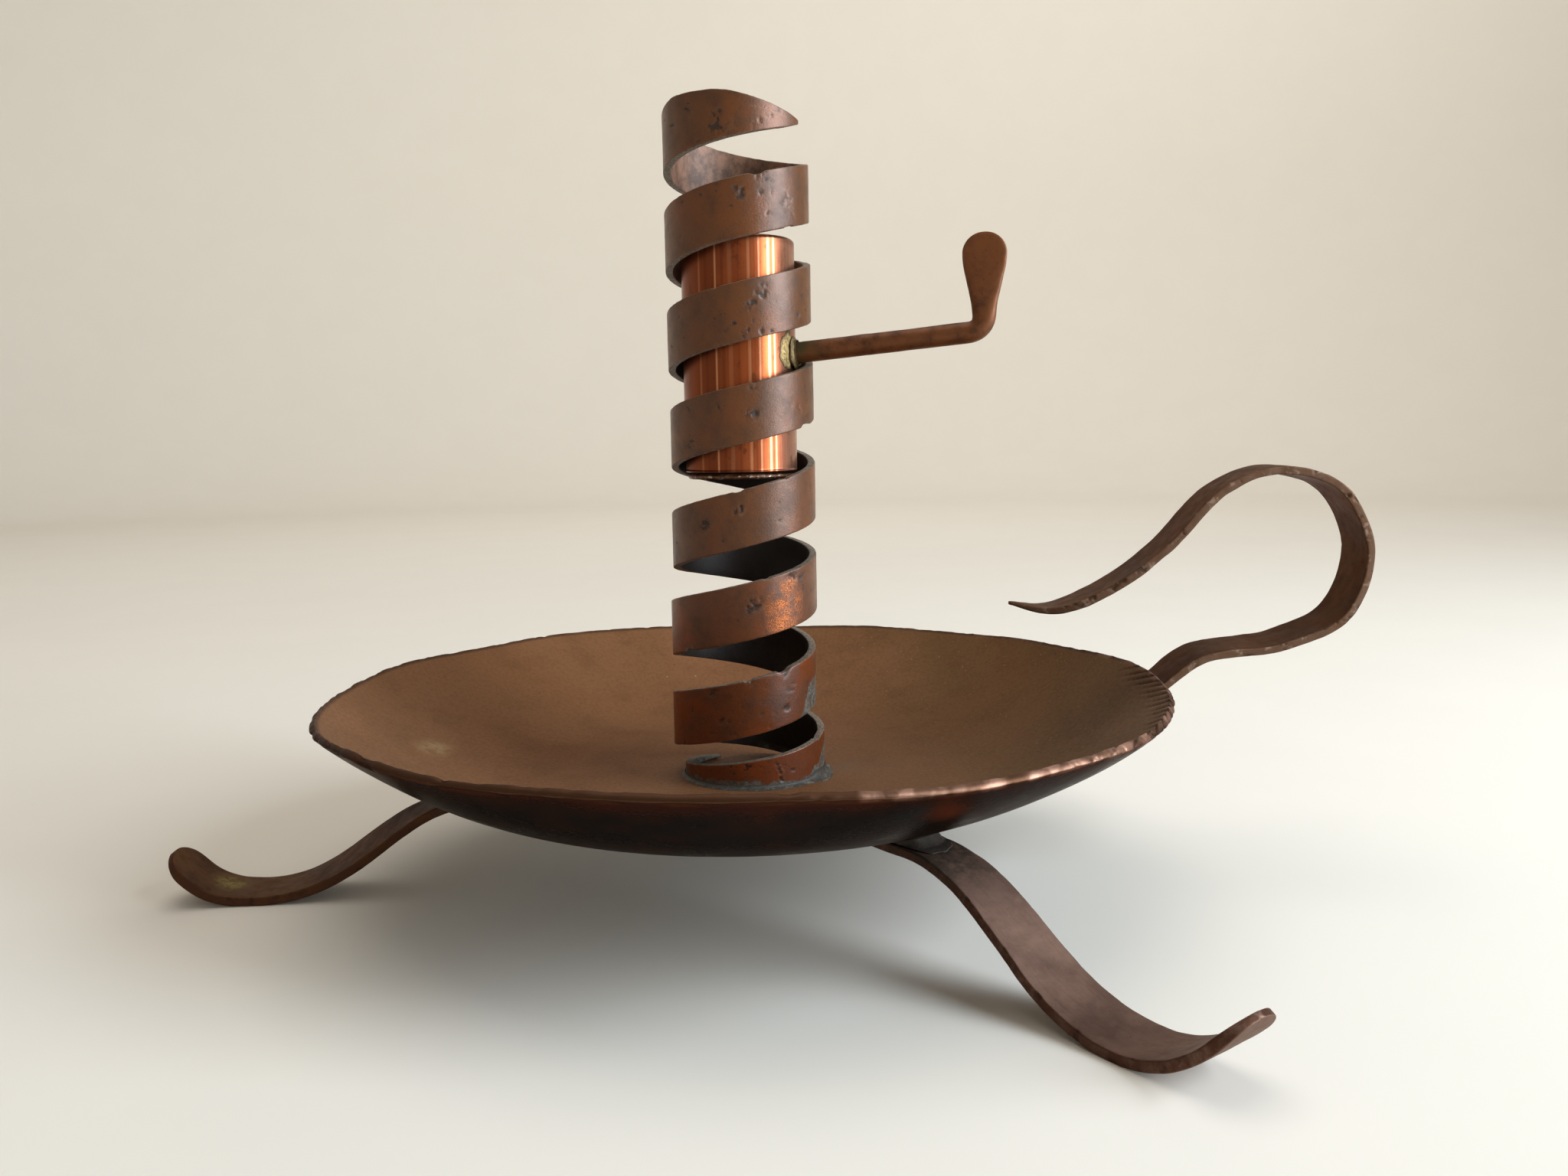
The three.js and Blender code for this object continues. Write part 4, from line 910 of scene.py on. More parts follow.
def carried_strap(line, width, thickness, twist, radius, azimuth, seed, wear):
    """Strap along a line of radius and height: a rounded box section, turned about the line by the twist.
    Its edges wander a little where the hammer squared them, its faces are slightly uneven, and small nicks
    take the edges as deep as the wear."""
    place, along, far = line
    spacing, apart = 0.4, 30
    x, y, out_x, out_y = rounded_box(width[:, None], thickness[:, None],
                                     np.minimum(radius, thickness[:, None] * 0.45), up=5, across=26, bend=5)
    flat = flat_place(far[:, None], np.cumsum(np.ones_like(x), axis=1) * spacing * MM)
    edge = rough(flat_place(far[:, None], np.sign(x) * apart * MM), 4.5 * MM, seed=seed)
    x = x * (1 - 0.02 * (1 + edge))
    y = y - out_y * (0.03 * MM + 0.15 * wear) * (1 + rough(flat, 5 * MM, seed=seed + 4))
    nick = rough(flat_place(far[:, None], np.sign(x) * apart * MM + y), 1.7 * MM, seed=seed + 8)
    nick = np.clip(nick - 0.55, 0, 1)
    x = x - out_x * nick * wear
    cos, sin = np.cos(twist)[:, None], np.sin(twist)[:, None]
    side, up = x * cos - y * sin, x * sin + y * cos
    points = np.stack([place[:, :1] - along[:, 1:] * up, side, place[:, 1:] + along[:, :1] * up], -1)
    return face_out(points, azimuth), {
        "edge": np.abs(out_x), "upper": (1 + out_y) / 2, "along": (far / far[-1])[:, None],
        "nick": np.clip(nick * np.abs(out_x) * 3, 0, 1)}


def leg_line(dish, strap, run, rise):
    """Leg line in radius and height: level under the dish, an S down to the table, and a curled-up toe.
    Returns its dense points and the lengths of its first two parts."""
    centre = dish.rim_height - dish.depth - dish.wall - SEAT_GAP - strap.thickness / 2
    contact = strap.thickness / 2 - strap.foot_wear
    start, foot = dish.floor_radius + strap.level, dish.rim_radius + strap.foot_out
    share = np.linspace(0, 1, 200)
    level = lerp(np.array([dish.floor_radius - strap.lap, centre]), np.array([start, centre]), share[:, None])
    drop = bezier([(start, centre), (start + strap.drop_hold, centre),
                   (foot - strap.drop_hold, contact), (foot, contact)], share)[0]
    toe = bezier([(foot, contact), (foot + strap.toe_hold, contact),
                  (foot + run - strap.tip_hold, rise - strap.tip_rise), (foot + run, rise)], share)[0]
    fall = np.linalg.norm(np.diff(drop, axis=0), axis=1).sum()
    return np.vstack([level, drop[1:], toe[1:]]), strap.lap + strap.level, fall


def strap_leg(dish, strap, bend, seed):
    """Leg: the strap widens down its S, rolls a little on the way, thins and closes in a rounded toe, and
    is filed flat where it stands on the table."""
    azimuth, roll, run, rise = bend
    line, level, fall = leg_line(dish, strap, run * MM, rise * MM)
    line = even_path(line, 480, strap.toe_round, end_steps=44)
    far = line[2]
    down = np.clip((far - level) / fall, 0, 1)
    past = np.clip(1 - (far[-1] - far) / strap.toe_round, 0, 1)
    width = lerp(strap.neck_width, strap.toe_width, smooth(down, 0, 1)) * np.sqrt(1 - past ** 2)
    width = np.hypot(width, strap.toe_tip * past)
    thickness = strap.thickness * (1 - strap.toe_thin * past ** 2)
    twist = -math.radians(roll) * np.sin(math.pi * down) ** 2
    points, marks = carried_strap(line, width, thickness, twist, strap.edge, math.radians(azimuth), seed,
                                  wear=0.12 * MM)
    points[..., 2] = np.maximum(points[..., 2], 0)
    return points, marks


def handle_seat(dish, strap, clearance):
    """Place and inward normal at the clearance outside the dish wall, where the handle starts."""
    middle, along = flare(dish, [strap.seat_share])
    inward = left_of(along[0])
    return middle[0] - inward * (dish.wall / 2 + clearance), inward


def looped_handle(dish, strap):
    """Handle: the strap climbs the dish wall, passes the rim, runs round the finger loop and is drawn out
    to a leaf point whose width follows a power of a sine."""
    clear, tip_width, tip_thickness = strap.thickness / 2 + SEAT_GAP, 1.2 * MM, 0.8 * MM
    place, _ = handle_seat(dish, strap, clear)
    swell = dish.swell * sum(share for _, _, share in RIM_SWELL_WAVES)
    past_lip = (dish.rim_radius - dish.wall / 2 + clear + swell + strap.lip_ease,
                dish.rim_height - strap.lip_drop)
    bends = [(dish.rim_radius + out * MM, dish.rim_height + up * MM) for out, up in HANDLE_BENDS]
    line = even_path(through([place, past_lip, *bends]), 620)
    far = line[2]
    leaf = np.sin(np.clip((far[-1] - far) / strap.taper, 0, 1) * math.pi / 2) ** strap.fullness
    width = lerp(tip_width, strap.handle_width, leaf)
    thickness = lerp(tip_thickness, strap.thickness, leaf)
    twist = strap.handle_twist * np.sin(math.pi * np.clip(far / strap.twist_run, 0, 1))
    return carried_strap(line, width, thickness, twist, strap.edge, strap.handle_azimuth, seed=71,
                         wear=0.45 * MM)


def foot_solder(spiral, solder):
    """Fillet round the tube's foot: a hollow quarter section, (1 - sine) by (1 - cosine), carried round as
    far as the band stands on the dish. Noise swells its run and rise, and it is fuller at the right, where
    more solder was fed in."""
    last = (spiral.first_turn + spiral.even_turn) / 2
    fed_turn, fed_half, fuller = 0.97, 0.13, 1.3
    dish_floor = TUBE_FOOT - SEAT_GAP
    share = shares(620)
    turns = lerp(spiral.first_turn, last, share)
    wider, shift = coil_spread(turns)
    full = 1 + fuller * smooth(fed_half - np.abs(turns - fed_turn), 0, 0.12)
    swell = lerp(solder.end_share, 1, np.sqrt(np.sin(math.pi * share))) * full
    inner = spiral.diameter / 2 + SEAT_GAP / 3 + wider
    side = np.linspace(math.pi / 2, 0, 22)[None, :]
    base, post = np.linspace(1, 0, 10)[None, 1:-1], np.linspace(0, 1, 8)[None, 1:-1]
    out = np.concatenate([1 - np.sin(side), base, post * 0], axis=1)
    up = np.concatenate([1 - np.cos(side), base * 0, post], axis=1)
    arc = turns * math.pi * spiral.diameter
    slow = (1 + rough(flat_place(arc, 0), 4 * MM, seed=82)) / 2
    radius = inner + out * solder.run * swell * (0.6 + 0.4 * slow)
    rise = up * solder.rise * swell * (0.75 + 0.25 * slow)
    grain = rough(flat_place(arc, out * solder.run), 0.9 * MM, seed=84) * 0.07 * MM
    rise = rise + (grain + 0.1 * MM) * np.sin(math.pi * np.clip(out, 0, 1)) * (up > 0)
    points = round_axis(radius, TURN * turns, dish_floor + 0.02 * MM + rise)
    points[..., 0] += shift
    return points, {"crust": np.clip(out, 0, 1)}


def leg_solder(dish, strap, solder, bend, seed):
    """Fillet between the flare's underside and the leg's upper face. Its section is a hollow wedge that
    slopes down to a thin toe; across the leg it draws back as (1 - side^4)^1/2, so that it ends in a
    rounded tongue."""
    azimuth, _, run, rise = bend
    middle, along = flare(dish, np.linspace(0, 1, 80))
    under = middle - left_of(along) * dish.wall / 2
    leg = leg_line(dish, strap, run * MM, rise * MM)[0]
    start = dish.floor_radius + solder.leg_setback
    side = np.linspace(-0.995, 0.995, 70)[:, None]
    reach = np.sqrt(1 - side ** 4) * (1 + 0.06 * rough(flat_place(side, 0), 0.6, seed=seed + 20, layers=2))
    end = start + solder.leg_length * reach
    toe = end + solder.leg_toe * reach
    ease = shares(24).T[:, 1:-1]
    above, slope, below = lerp(start, end, shares(10).T), lerp(end, toe, ease), lerp(toe, start, shares(22).T)
    ceiling = np.interp(above, under[:, 0], under[:, 1]) - SEAT_GAP
    face = np.interp(below, leg[:, 0], leg[:, 1]) + strap.thickness / 2 + SEAT_GAP / 2
    fall = lerp(ceiling[:, -1:], face[:, :1], 1 - (1 - ease) ** 2.6)
    floor = np.interp(slope, leg[:, 0], leg[:, 1]) + strap.thickness / 2 + SEAT_GAP * 0.7
    out = np.concatenate([above, slope, below], axis=1)
    up = np.concatenate([ceiling, np.maximum(fall, floor), face], axis=1)
    points = np.stack(np.broadcast_arrays(out, side * solder.leg_width / 2, up), -1)
    sink = 0.04 * MM * (1 + rough(points, 1.6 * MM, seed=seed)) / 2
    points[..., 2] -= np.concatenate([above * 0, slope * 0 + 1, below * 0], axis=1) * sink
    return face_out(points, math.radians(azimuth)), {"crust": 0}


def handle_solder(dish, strap, solder):
    """Bead in the corner between the handle's lower end and the dish wall: a closed outline carried equally
    to both sides of its plane. It draws in at both ends by side^6, and its skin sinks by lumps."""
    place, inward = handle_seat(dish, strap, SEAT_GAP)
    down = left_of(inward)
    run, lift, crown = solder.handle_run, solder.handle_lift, solder.crown
    corners = [place + down * (SEAT_GAP + lower) - inward * off
               for lower, off in ((0, 0), (run, crown), (crown, lift), (0, lift), (0, 0))]
    outline = even_path(np.array(corners), 41)[0][:-1]
    middle = outline.mean(axis=0)
    side = np.linspace(-1, 1, 60)[:, None]
    draw = 1 - 0.5 * np.abs(side) ** 6
    out, up = (middle[axis] + (outline[None, :, axis] - middle[axis]) * draw for axis in (0, 1))
    points = np.stack(np.broadcast_arrays(out, side * solder.handle_width / 2, up), -1)
    sink = 0.1 * MM * (1 + rough(points, 1.4 * MM, seed=95)) / 2
    towards = np.array([middle[0], 0, middle[1]]) - points
    towards[..., 1] = 0
    towards /= np.maximum(np.linalg.norm(towards, axis=-1, keepdims=True), 1e-6)
    return face_out(points + towards * sink[..., None], strap.handle_azimuth), {"crust": 0}


# Finishes

class Paint:
    """A material's node tree, with short names for the nodes that the finishes use. `place` is the object
    coordinates. A colour is a six-digit screen code, a setting or a socket."""

    def __init__(self, name):
        self.material = bpy.data.materials.new(name)
        self.material.use_nodes = True
        self.tree = self.material.node_tree
        self.tree.nodes.clear()
        self.place = self.put("ShaderNodeTexCoord").outputs["Object"]

    def put(self, kind, values=(), **settings):
        """Adds a node, applies its settings, and sets or links each named or numbered input."""
        node = self.tree.nodes.new(kind)
        for key, value in settings.items():
            setattr(node, key, value)
        for key, value in dict(values).items():
            if isinstance(value, bpy.types.NodeSocket):
                self.tree.links.new(value, node.inputs[key])
            else:
                node.inputs[key].default_value = value
        return node

    def along(self, axis):
        """Object coordinate along X, Y or Z."""
        return self.put("ShaderNodeSeparateXYZ", {"Vector": self.place}).outputs[axis]

    def marks(self, *names):
        """Numbers that skin stored on the piece's points."""
        return [self.put("ShaderNodeAttribute", attribute_name=name).outputs["Fac"] for name in names]

    def noise(self, across, detail=4.0, roughness=0.55, place=None):
        """Noise from 0 to 1 whose main features are about `across` millimetres wide."""
        return self.put("ShaderNodeTexNoise", {
            "Vector": self.place if place is None else place, "Scale": 1 / (across * MM), "Detail": detail,
            "Roughness": roughness}).outputs["Fac"]

    def spots(self, across, reach):
        """Small dots about `across` millimetres apart: 1 at their middles, 0 past `reach` of the spacing."""
        far = self.put("ShaderNodeTexVoronoi", {"Vector": self.place, "Scale": 1 / (across * MM)})
        return self.span(far.outputs["Distance"], reach, 0.0)

    def span(self, value, low, high, to_low=0.0, to_high=1.0):
        """Eased share of where value lies between low and high, as a number between the two others."""
        return self.put("ShaderNodeMapRange", {
            "Value": value, "From Min": low, "From Max": high, "To Min": to_low, "To Max": to_high},
            interpolation_type="SMOOTHSTEP").outputs["Result"]

    def calc(self, operation, *numbers):
        return self.put("ShaderNodeMath", enumerate(numbers), operation=operation).outputs[0]

    def times(self, first, second):
        return self.calc("MULTIPLY", first, second)

    def between(self, share, first, second):
        """Number that goes from the first to the second with the share."""
        return self.put("ShaderNodeMix", {0: share, 2: first, 3: second}, data_type="FLOAT").outputs[0]

    def coats(self, colour_now, *layers):
        """Colour under layers, each a share and a colour. A strength between the two multiplies the share,
        and limits between them make it from a number, as span does."""
        for share, *limits, over in layers:
            if limits:
                share = self.times(share, *limits) if len(limits) == 1 else self.span(share, *limits)
            below, above = (value if isinstance(value, bpy.types.NodeSocket) else full_cover(value)
                            for value in (colour_now, over))
            mix = self.put("ShaderNodeMix", {0: share, 6: below, 7: above}, data_type="RGBA")
            colour_now = mix.outputs[2]
        return colour_now

    def stretched(self, place, scale):
        """Coordinates scaled by three numbers, to draw a pattern out along one direction."""
        return self.put("ShaderNodeMapping", {"Vector": place, "Scale": scale}).outputs["Vector"]

    def near(self, centre, across, turned=0.0):
        """1 in the middle of an ellipsoid and 0 past it. Its centre in the shared frame and its half widths
        `across` are in millimetres, and it is turned about Z by degrees."""
        moved = self.put("ShaderNodeVectorMath", {0: self.place, 1: [-value * MM for value in centre]},
                         operation="ADD").outputs[0]
        spun = self.put("ShaderNodeMapping", {"Vector": moved, "Rotation": (0, 0, -math.radians(turned))})
        scaled = self.stretched(spun.outputs["Vector"], [1 / (value * MM) for value in across])
        far = self.put("ShaderNodeVectorMath", {0: scaled}, operation="LENGTH").outputs["Value"]
        return self.span(far, 1.0, 0.0)

    def bumped(self, *layers):
        """Normal of a surface raised by layers, each a height from 0 to 1 and its depth in millimetres."""
        below = {}
        for height, depth in layers:
            bump = self.put("ShaderNodeBump", {"Height": height, "Distance": depth * MM, "Strength": 1.0,
                                               **below})
            below = {"Normal": bump.outputs["Normal"]}
        return below["Normal"]

    def finished(self, values):
        """The material, with these inputs of its shader."""
        shader = self.put("ShaderNodeBsdfPrincipled", values)
        self.put("ShaderNodeOutputMaterial", {"Surface": shader.outputs["BSDF"]})
        return self.material


def full_cover(value):
    """Colour with the fourth number that sockets take."""
    return (*(linear(value) if isinstance(value, str) else value), 1.0)


# Marks on the dish: middle and half widths in millimetres in the shared frame, and turn in degrees
DISH_STAIN = ((-70, -2, 27), (8, 4, 9), 75)
DISH_FLECKS = ((-24, 61, 29), (9, 7, 6))
TUBE_HAZE = ((AXIS[0] / MM, AXIS[1] / MM, 21.6), (23, 22, 9))
SIDE_HAZE = ((12, -3, 21.6), (17, 9, 6), 20)
# Painted reflection of the front leg on the glossy underside, near the front of the rim
LEG_REFLECTION_PATCH = ((23, -75, 33.5), (5, 10, 8), -20)


def dish_finish(dish):
    """Matte brown inside with olive and warm clouds, fine specks, a pale stain and grey haze round the
    tube's solder; near-black and glossy outside, partly painted shade, reddish under the rim, with a painted
    reflection of the front leg; lip dark, and pale pinkish in broken facets where it is partly rubbed and
    partly painted highlight; chisel cuts dark."""
    paint = Paint("dish_copper")
    x, z = paint.along("X"), paint.along("Z")
    outside, lip, cut, fold, rubbed_and_lit = paint.marks("outside", "lip", "cut", "fold", "rubbed_and_lit")
    clouds, blotches, grain = paint.noise(38, 5), paint.noise(9, 6, 0.6), paint.noise(0.8, 3, 0.7)
    olive = paint.times(paint.span(x, 5 * MM, 55 * MM), paint.span(clouds, 0.3, 0.7, 0.5, 1))
    right = paint.between(paint.span(x, 15 * MM, 35 * MM), 0.15, 0.8)
    specks = paint.times(paint.times(paint.spots(1.4, 0.18), paint.span(blotches, 0.48, 0.56)), right)
    dots = paint.times(paint.spots(5.3, 0.07), paint.span(clouds, 0.35, 0.5))
    stain = paint.times(paint.near(*DISH_STAIN), paint.span(paint.noise(4, 5, 0.7), 0.38, 0.56))
    flecks = paint.times(paint.near(*DISH_FLECKS), paint.spots(2.3, 0.12))
    haze = paint.calc("MAXIMUM", paint.near(*TUBE_HAZE), paint.times(paint.near(*SIDE_HAZE), 0.6))
    haze = paint.times(haze, paint.span(paint.noise(2.5, 5, 0.7), 0.36, 0.62))
    inside = paint.coats(
        dish.inside, (olive, dish.olive), (blotches, 0.45, 0.7, 0, 0.3, "543822"),
        (clouds, 0.52, 0.75, 0, 0.4, "8a5f44"), (grain, 0.4, 0.7, 0, 0.25, "54391f"),
        (specks, "a58d5e"), (dots, 0.75, "2b1d14"), (stain, 0.6, "9a8561"),
        (flecks, 1.6, "c9b8a4"), (haze, 0.5, "655b4d"))
    # Underside: its near-black is partly painted shade for the dark space under the dish, and the leg
    # reflection patch is a painted reflection
    under = paint.coats(
        dish.outside, (blotches, 0.4, 0.75, "4a2c1b"),
        (z, 34 * MM, 38.5 * MM, 0, 0.7, "55301d"),
        (paint.near(*LEG_REFLECTION_PATCH), 0.85, "86492c"))
    # Pale pinkish lip in broken facets: partly rubbed copper and partly painted highlight
    facets = paint.between(paint.span(paint.noise(4, 2, 0.6), 0.42, 0.56), 0.25, 1)
    bare_and_lit = paint.times(paint.span(rubbed_and_lit, 0.25, 0.8), facets)
    colour_now = paint.coats(
        inside, (outside, under), (lip, paint.coats(dish.dark_lip, (bare_and_lit, dish.lip))),
        (fold, 0.5, "7d6456"), (cut, 0.95, "20150f"))
    return paint.finished({
        "Base Color": colour_now, "Metallic": paint.between(outside, 0.3, 0.85), "IOR": 1.33,
        "Specular Tint": full_cover("7d6a5d"),
        "Roughness": paint.between(outside, paint.span(grain, 0.3, 0.7, 0.5, 0.64),
                                   paint.span(blotches, 0.3, 0.7, 0.26, 0.36)),
        "Normal": paint.bumped((blotches, 0.1), (grain, 0.03))})


def spiral_finish(spiral):
    """Satin brown patina that turns redder down the tube, partly as painted reflection of the warm floor,
    thin and orange in drifting patches, with speckled dark pits, a sparkling rubbed patch and grey solder
    crust near the foot; dull inner wall darkened to near black down the tube by painted shade, and grainy
    sawn edges."""
    paint = Paint("spiral_copper")
    z = paint.along("Z")
    inner, cut, pit, pale, rub, crust = paint.marks("inner", "cut", "pit", "pale", "rub", "crust")
    # Redder down the tube: partly the patina and partly painted reflection of the warm floor that the lower
    # coils face
    low = paint.span(z, 85 * MM, 30 * MM)
    foot = paint.span(z, 34 * MM, 26 * MM, 0, 0.2)
    clouds, mottle = paint.noise(14, 4, 0.55), paint.noise(4.5, 6, 0.65)
    grain, grit = paint.noise(0.45, 3, 0.75), paint.noise(0.38, 4, 0.8)
    warm = paint.times(paint.span(clouds, 0.44, 0.66), paint.between(low, 0.15, 0.5))
    warm = paint.times(warm, paint.span(mottle, 0.62, 0.4, 0.3, 1))
    warm = paint.calc("MAXIMUM", warm, paint.times(foot, paint.span(mottle, 0.3, 0.6, 0.1, 1)))
    sparkle = paint.times(rub, paint.span(paint.noise(0.2, 3, 0.8), 0.46, 0.56))
    outer = paint.coats(
        spiral.brown, (low, "623014"), (mottle, 0.36, 0.8, spiral.dark),
        (grain, 0.5, 0.72, 0, 0.35, "2c190d"), (warm, spiral.orange),
        (rub, 0.35, "7a3a1a"), (sparkle, 0.9, "d87f48"))
    streaky = paint.noise(3, 6, 0.7, paint.stretched(paint.place, (1, 1, 0.8)))
    # Inner wall: lighter streaks, and painted shade that darkens it to near black down the tube
    inside = paint.coats(spiral.inside, (streaky, 0.36, 0.64, "86604a"),
                         (z, 118 * MM, 100 * MM, "1e1613"))
    edges = paint.coats(spiral.cut, (grain, 0.35, 0.65, "4a3c30"))
    solder = paint.coats("45413a", (paint.noise(1.1, 4, 0.75), 0.4, 0.62, "6b665b"))
    speckle = paint.calc("MULTIPLY_ADD", foot, 0.3, paint.calc("MULTIPLY_ADD", pit, 0.5, grit))
    speckle = paint.times(paint.span(speckle, 0.6, 0.73), paint.calc("SUBTRACT", 1, inner))
    dull = paint.calc("MAXIMUM", paint.calc("MAXIMUM", inner, cut), paint.times(crust, 0.8))
    satin = paint.calc("ADD", paint.span(mottle, 0.3, 0.7, 0.3, 0.42), paint.times(speckle, 0.2))
    return paint.finished({
        "Base Color": paint.coats(outer, (inner, inside), (cut, edges), (pale, 0.75, "a98f7c"),
                                  (speckle, 0.85, "1b120d"), (crust, solder)),
        "IOR": 1.58, "Specular Tint": (1.0, 0.92, 0.87, 1.0),
        "Metallic": paint.between(paint.calc("MAXIMUM", warm, rub), 0.12, 0.75),
        "Roughness": paint.between(dull, satin, 0.55),
        "Normal": paint.bumped((mottle, 0.07), (grit, 0.04))})


def sleeve_finish(lift):
    """Drawn copper, orange-red with soft and crisp streaks along the tube and a few bright lines that are
    painted highlights; painted shade darkens it to the left, a painted highlight makes it paler and pinkish
    to the right; darker inside, and dull round the upper rim."""
    paint = Paint("sleeve_copper")
    streaks_and_highlights, inner, rim = paint.marks("streaks_and_highlights", "inner", "upper_rim")
    streaks = paint.noise(3.5, 3, 0.6, paint.stretched(paint.place, (1, 1, 0.03)))
    fine = paint.noise(0.5, 2, 0.6, paint.stretched(paint.place, (1, 1, 0.015)))
    blots = paint.noise(2.2, 5, 0.7, paint.stretched(paint.place, (1, 1, 0.5)))
    clouds = paint.noise(9, 5, 0.6)
    x, middle = paint.along("X"), float(AXIS[0])
    return paint.finished({
        "Base Color": paint.coats(
            lift.bright, (streaks, 0.38, 0.7, 0, 0.8, lift.tarnish),
            # Painted shade darkens the left of the sleeve, and a painted highlight makes its right paler and
            # pinkish
            (x, middle + 3 * MM, middle - 7 * MM, 0, 0.7, "6c361c"),
            (x, middle + 6 * MM, middle + 10.5 * MM, 0, 0.75, "c39780"),
            (fine, 0.5, 0.7, 0, 0.25, "6e341c"), (clouds, 0.42, 0.68, 0, 0.55, "80432a"),
            # Bright lines are painted highlights along the streaks; dark lines are darker streaks
            (blots, 0.57, 0.66, 0, 0.6, "5d3522"), (streaks_and_highlights, 0.1, 0.9, 0, 0.8, "df9d74"),
            (streaks_and_highlights, -0.1, -0.7, 0, 0.4, "63301b"), (rim, 0.2, 1, 0, 0.6, "85553a"),
            (inner, 0.6, "3d2417")),
        "Metallic": 0.92, "IOR": 1.6, "Roughness": paint.span(clouds, 0.3, 0.7, 0.27, 0.4),
        "Normal": paint.bumped((streaks, 0.03), (fine, 0.01))})


def seat_finish():
    """Thin tarnished disc, copper-brown with grey-white glints at its ragged rim."""
    paint = Paint("seat_copper")
    rim, = paint.marks("rim")
    mottle = paint.noise(1.5, 5, 0.7)
    glints = paint.times(paint.span(paint.noise(0.8, 3, 0.7), 0.55, 0.65), rim)
    return paint.finished({
        "Base Color": paint.coats("563626", (mottle, 0.4, 0.65, "7e563f"), (glints, "b8a898"),
                                  (paint.calc("SUBTRACT", 1, rim), "4a2f22")),
        "Metallic": 0.7, "Roughness": paint.span(mottle, 0.3, 0.7, 0.3, 0.55),
        "Normal": paint.bumped((mottle, 0.08))})


def lever_finish(lift):
    """Satin brown rod with a warmer paddle, thin light edges and a stained root."""
    paint = Paint("lever_copper")
    edge, blade, root = paint.marks("edge", "blade", "root")
    mottle, grain = paint.noise(3.2, 6, 0.65), paint.noise(0.45, 3, 0.7)
    warm = paint.coats(lift.blade, (mottle, 0.4, 0.7, 0, 0.6, "5a341f"))
    return paint.finished({
        "Base Color": paint.coats(
            lift.brown, (mottle, 0.38, 0.75, "462817"), (blade, warm),
            (edge, 0.35, "8a6a50"), (paint.spots(1.7, 0.16), 0.55, "2c1b12"),
            (paint.times(root, paint.span(mottle, 0.3, 0.6)), "4f4427")),
        "Metallic": 0.3, "IOR": 1.42, "Specular Tint": (1.0, 0.88, 0.78, 1.0),
        "Roughness": paint.span(mottle, 0.3, 0.7, 0.42, 0.56),
        "Normal": paint.bumped((mottle, 0.1), (grain, 0.02))})


def braze_finish(lift):
    """Pale yellow braze, mottled and speckled dark, and olive-brown where it thins out."""
    paint = Paint("braze_yellow")
    thick, = paint.marks("thick")
    mottle = paint.noise(0.7, 5, 0.75)
    return paint.finished({
        "Base Color": paint.coats(lift.braze, (mottle, 0.42, 0.62, "6b5a34"),
                                  (thick, 0.7, 0.1, 0, 0.9, "4a3820")),
        "Metallic": 0.4, "Roughness": paint.span(mottle, 0.3, 0.7, 0.36, 0.6),
        "Normal": paint.bumped((mottle, 0.14))})


def strap_finish(name, base, dark, edge_colour, solder_end, glint=0.0):
    """Satin strap with fine lengthwise grain, clouds, darker pits and nicks, worn edges and small glints
    along them, and the pale stain of the left leg's toe. The share given as `solder_end` of its length is
    greyed by solder on the upper face."""
    paint = Paint(name)
    edge, nick, along, upper = paint.marks("edge", "nick", "along", "upper")
    surface = paint.put("ShaderNodeUVMap", uv_map=SURFACE_MAP).outputs["UV"]
    lengthwise = paint.noise(0.6, 3, 0.6, paint.stretched(surface, (0.06, 1, 1)))
    clouds, mottle = paint.noise(13, 5, 0.6), paint.noise(2.5, 5, 0.7)
    worn = paint.times(paint.span(edge, 0.3, 0.9), paint.span(mottle, 0.3, 0.6, 0.5, 1))
    glints = paint.times(edge, paint.span(paint.noise(2.8, 4, 0.7), 0.54, 0.64))
    holes = paint.times(paint.spots(2.7, 0.11), paint.span(clouds, 0.45, 0.55))
    grey = paint.times(paint.span(along, solder_end, solder_end * 0.6), upper)
    grey = paint.times(grey, paint.span(mottle, 0.36, 0.6))
    stain = paint.times(paint.near(*LEG_STAIN), paint.span(mottle, 0.4, 0.58))
    return paint.finished({
        "Base Color": paint.coats(
            base, (clouds, 0.4, 0.72, 0, 0.8, dark), (mottle, 0.5, 0.75, 0, 0.4, dark),
            (lengthwise, 0.5, 0.75, 0, 0.22, edge_colour), (worn, edge_colour),
            (glints, glint, "a58d7a"), (holes, 0.75, "1f1510"),
            (nick, 0.6, "2e1f18"), (grey, 0.9, "433d35"),
            (stain, 0.8, "938a56")),
        "Metallic": 0.5, "IOR": 1.35, "Specular Tint": full_cover("a08f82"),
        "Roughness": paint.span(mottle, 0.3, 0.7, 0.42, 0.56),
        "Normal": paint.bumped((mottle, 0.06), (lengthwise, 0.02))})


def solder_finish(name, base, crust_colour):
    """Fine grains of grey solder with paler flux crust towards its toe."""
    paint = Paint(name)
    crust, = paint.marks("crust")
    grains, clots = paint.noise(0.45, 4, 0.75), paint.noise(1.6, 4, 0.7)
    pale = paint.times(paint.span(clots, 0.5, 0.64), paint.span(crust, 0.0, 0.6, 0.2, 1))
    return paint.finished({
        "Base Color": paint.coats(base, (grains, 0.42, 0.66, "38342f"), (pale, crust_colour)),
        "Metallic": 0.3, "Roughness": 0.56, "Normal": paint.bumped((clots, 0.12), (grains, 0.06))})


def floor_finish(stage):
    """Pale plain floor with a faint unevenness."""
    paint = Paint("pale_floor")
    cloud = paint.span(paint.noise(60, 3), 0.3, 0.7, 0, 0.05)
    return paint.finished({"Base Color": paint.coats(stage.floor, (cloud, "cfc8bb")), "Roughness": 0.8,
                           "Specular IOR Level": 0.2})


# Operators

def settings(context, *names):
    """Property groups of the scene by their short names."""
    return [getattr(context.scene, f"candlestick_{name}") for name in names]


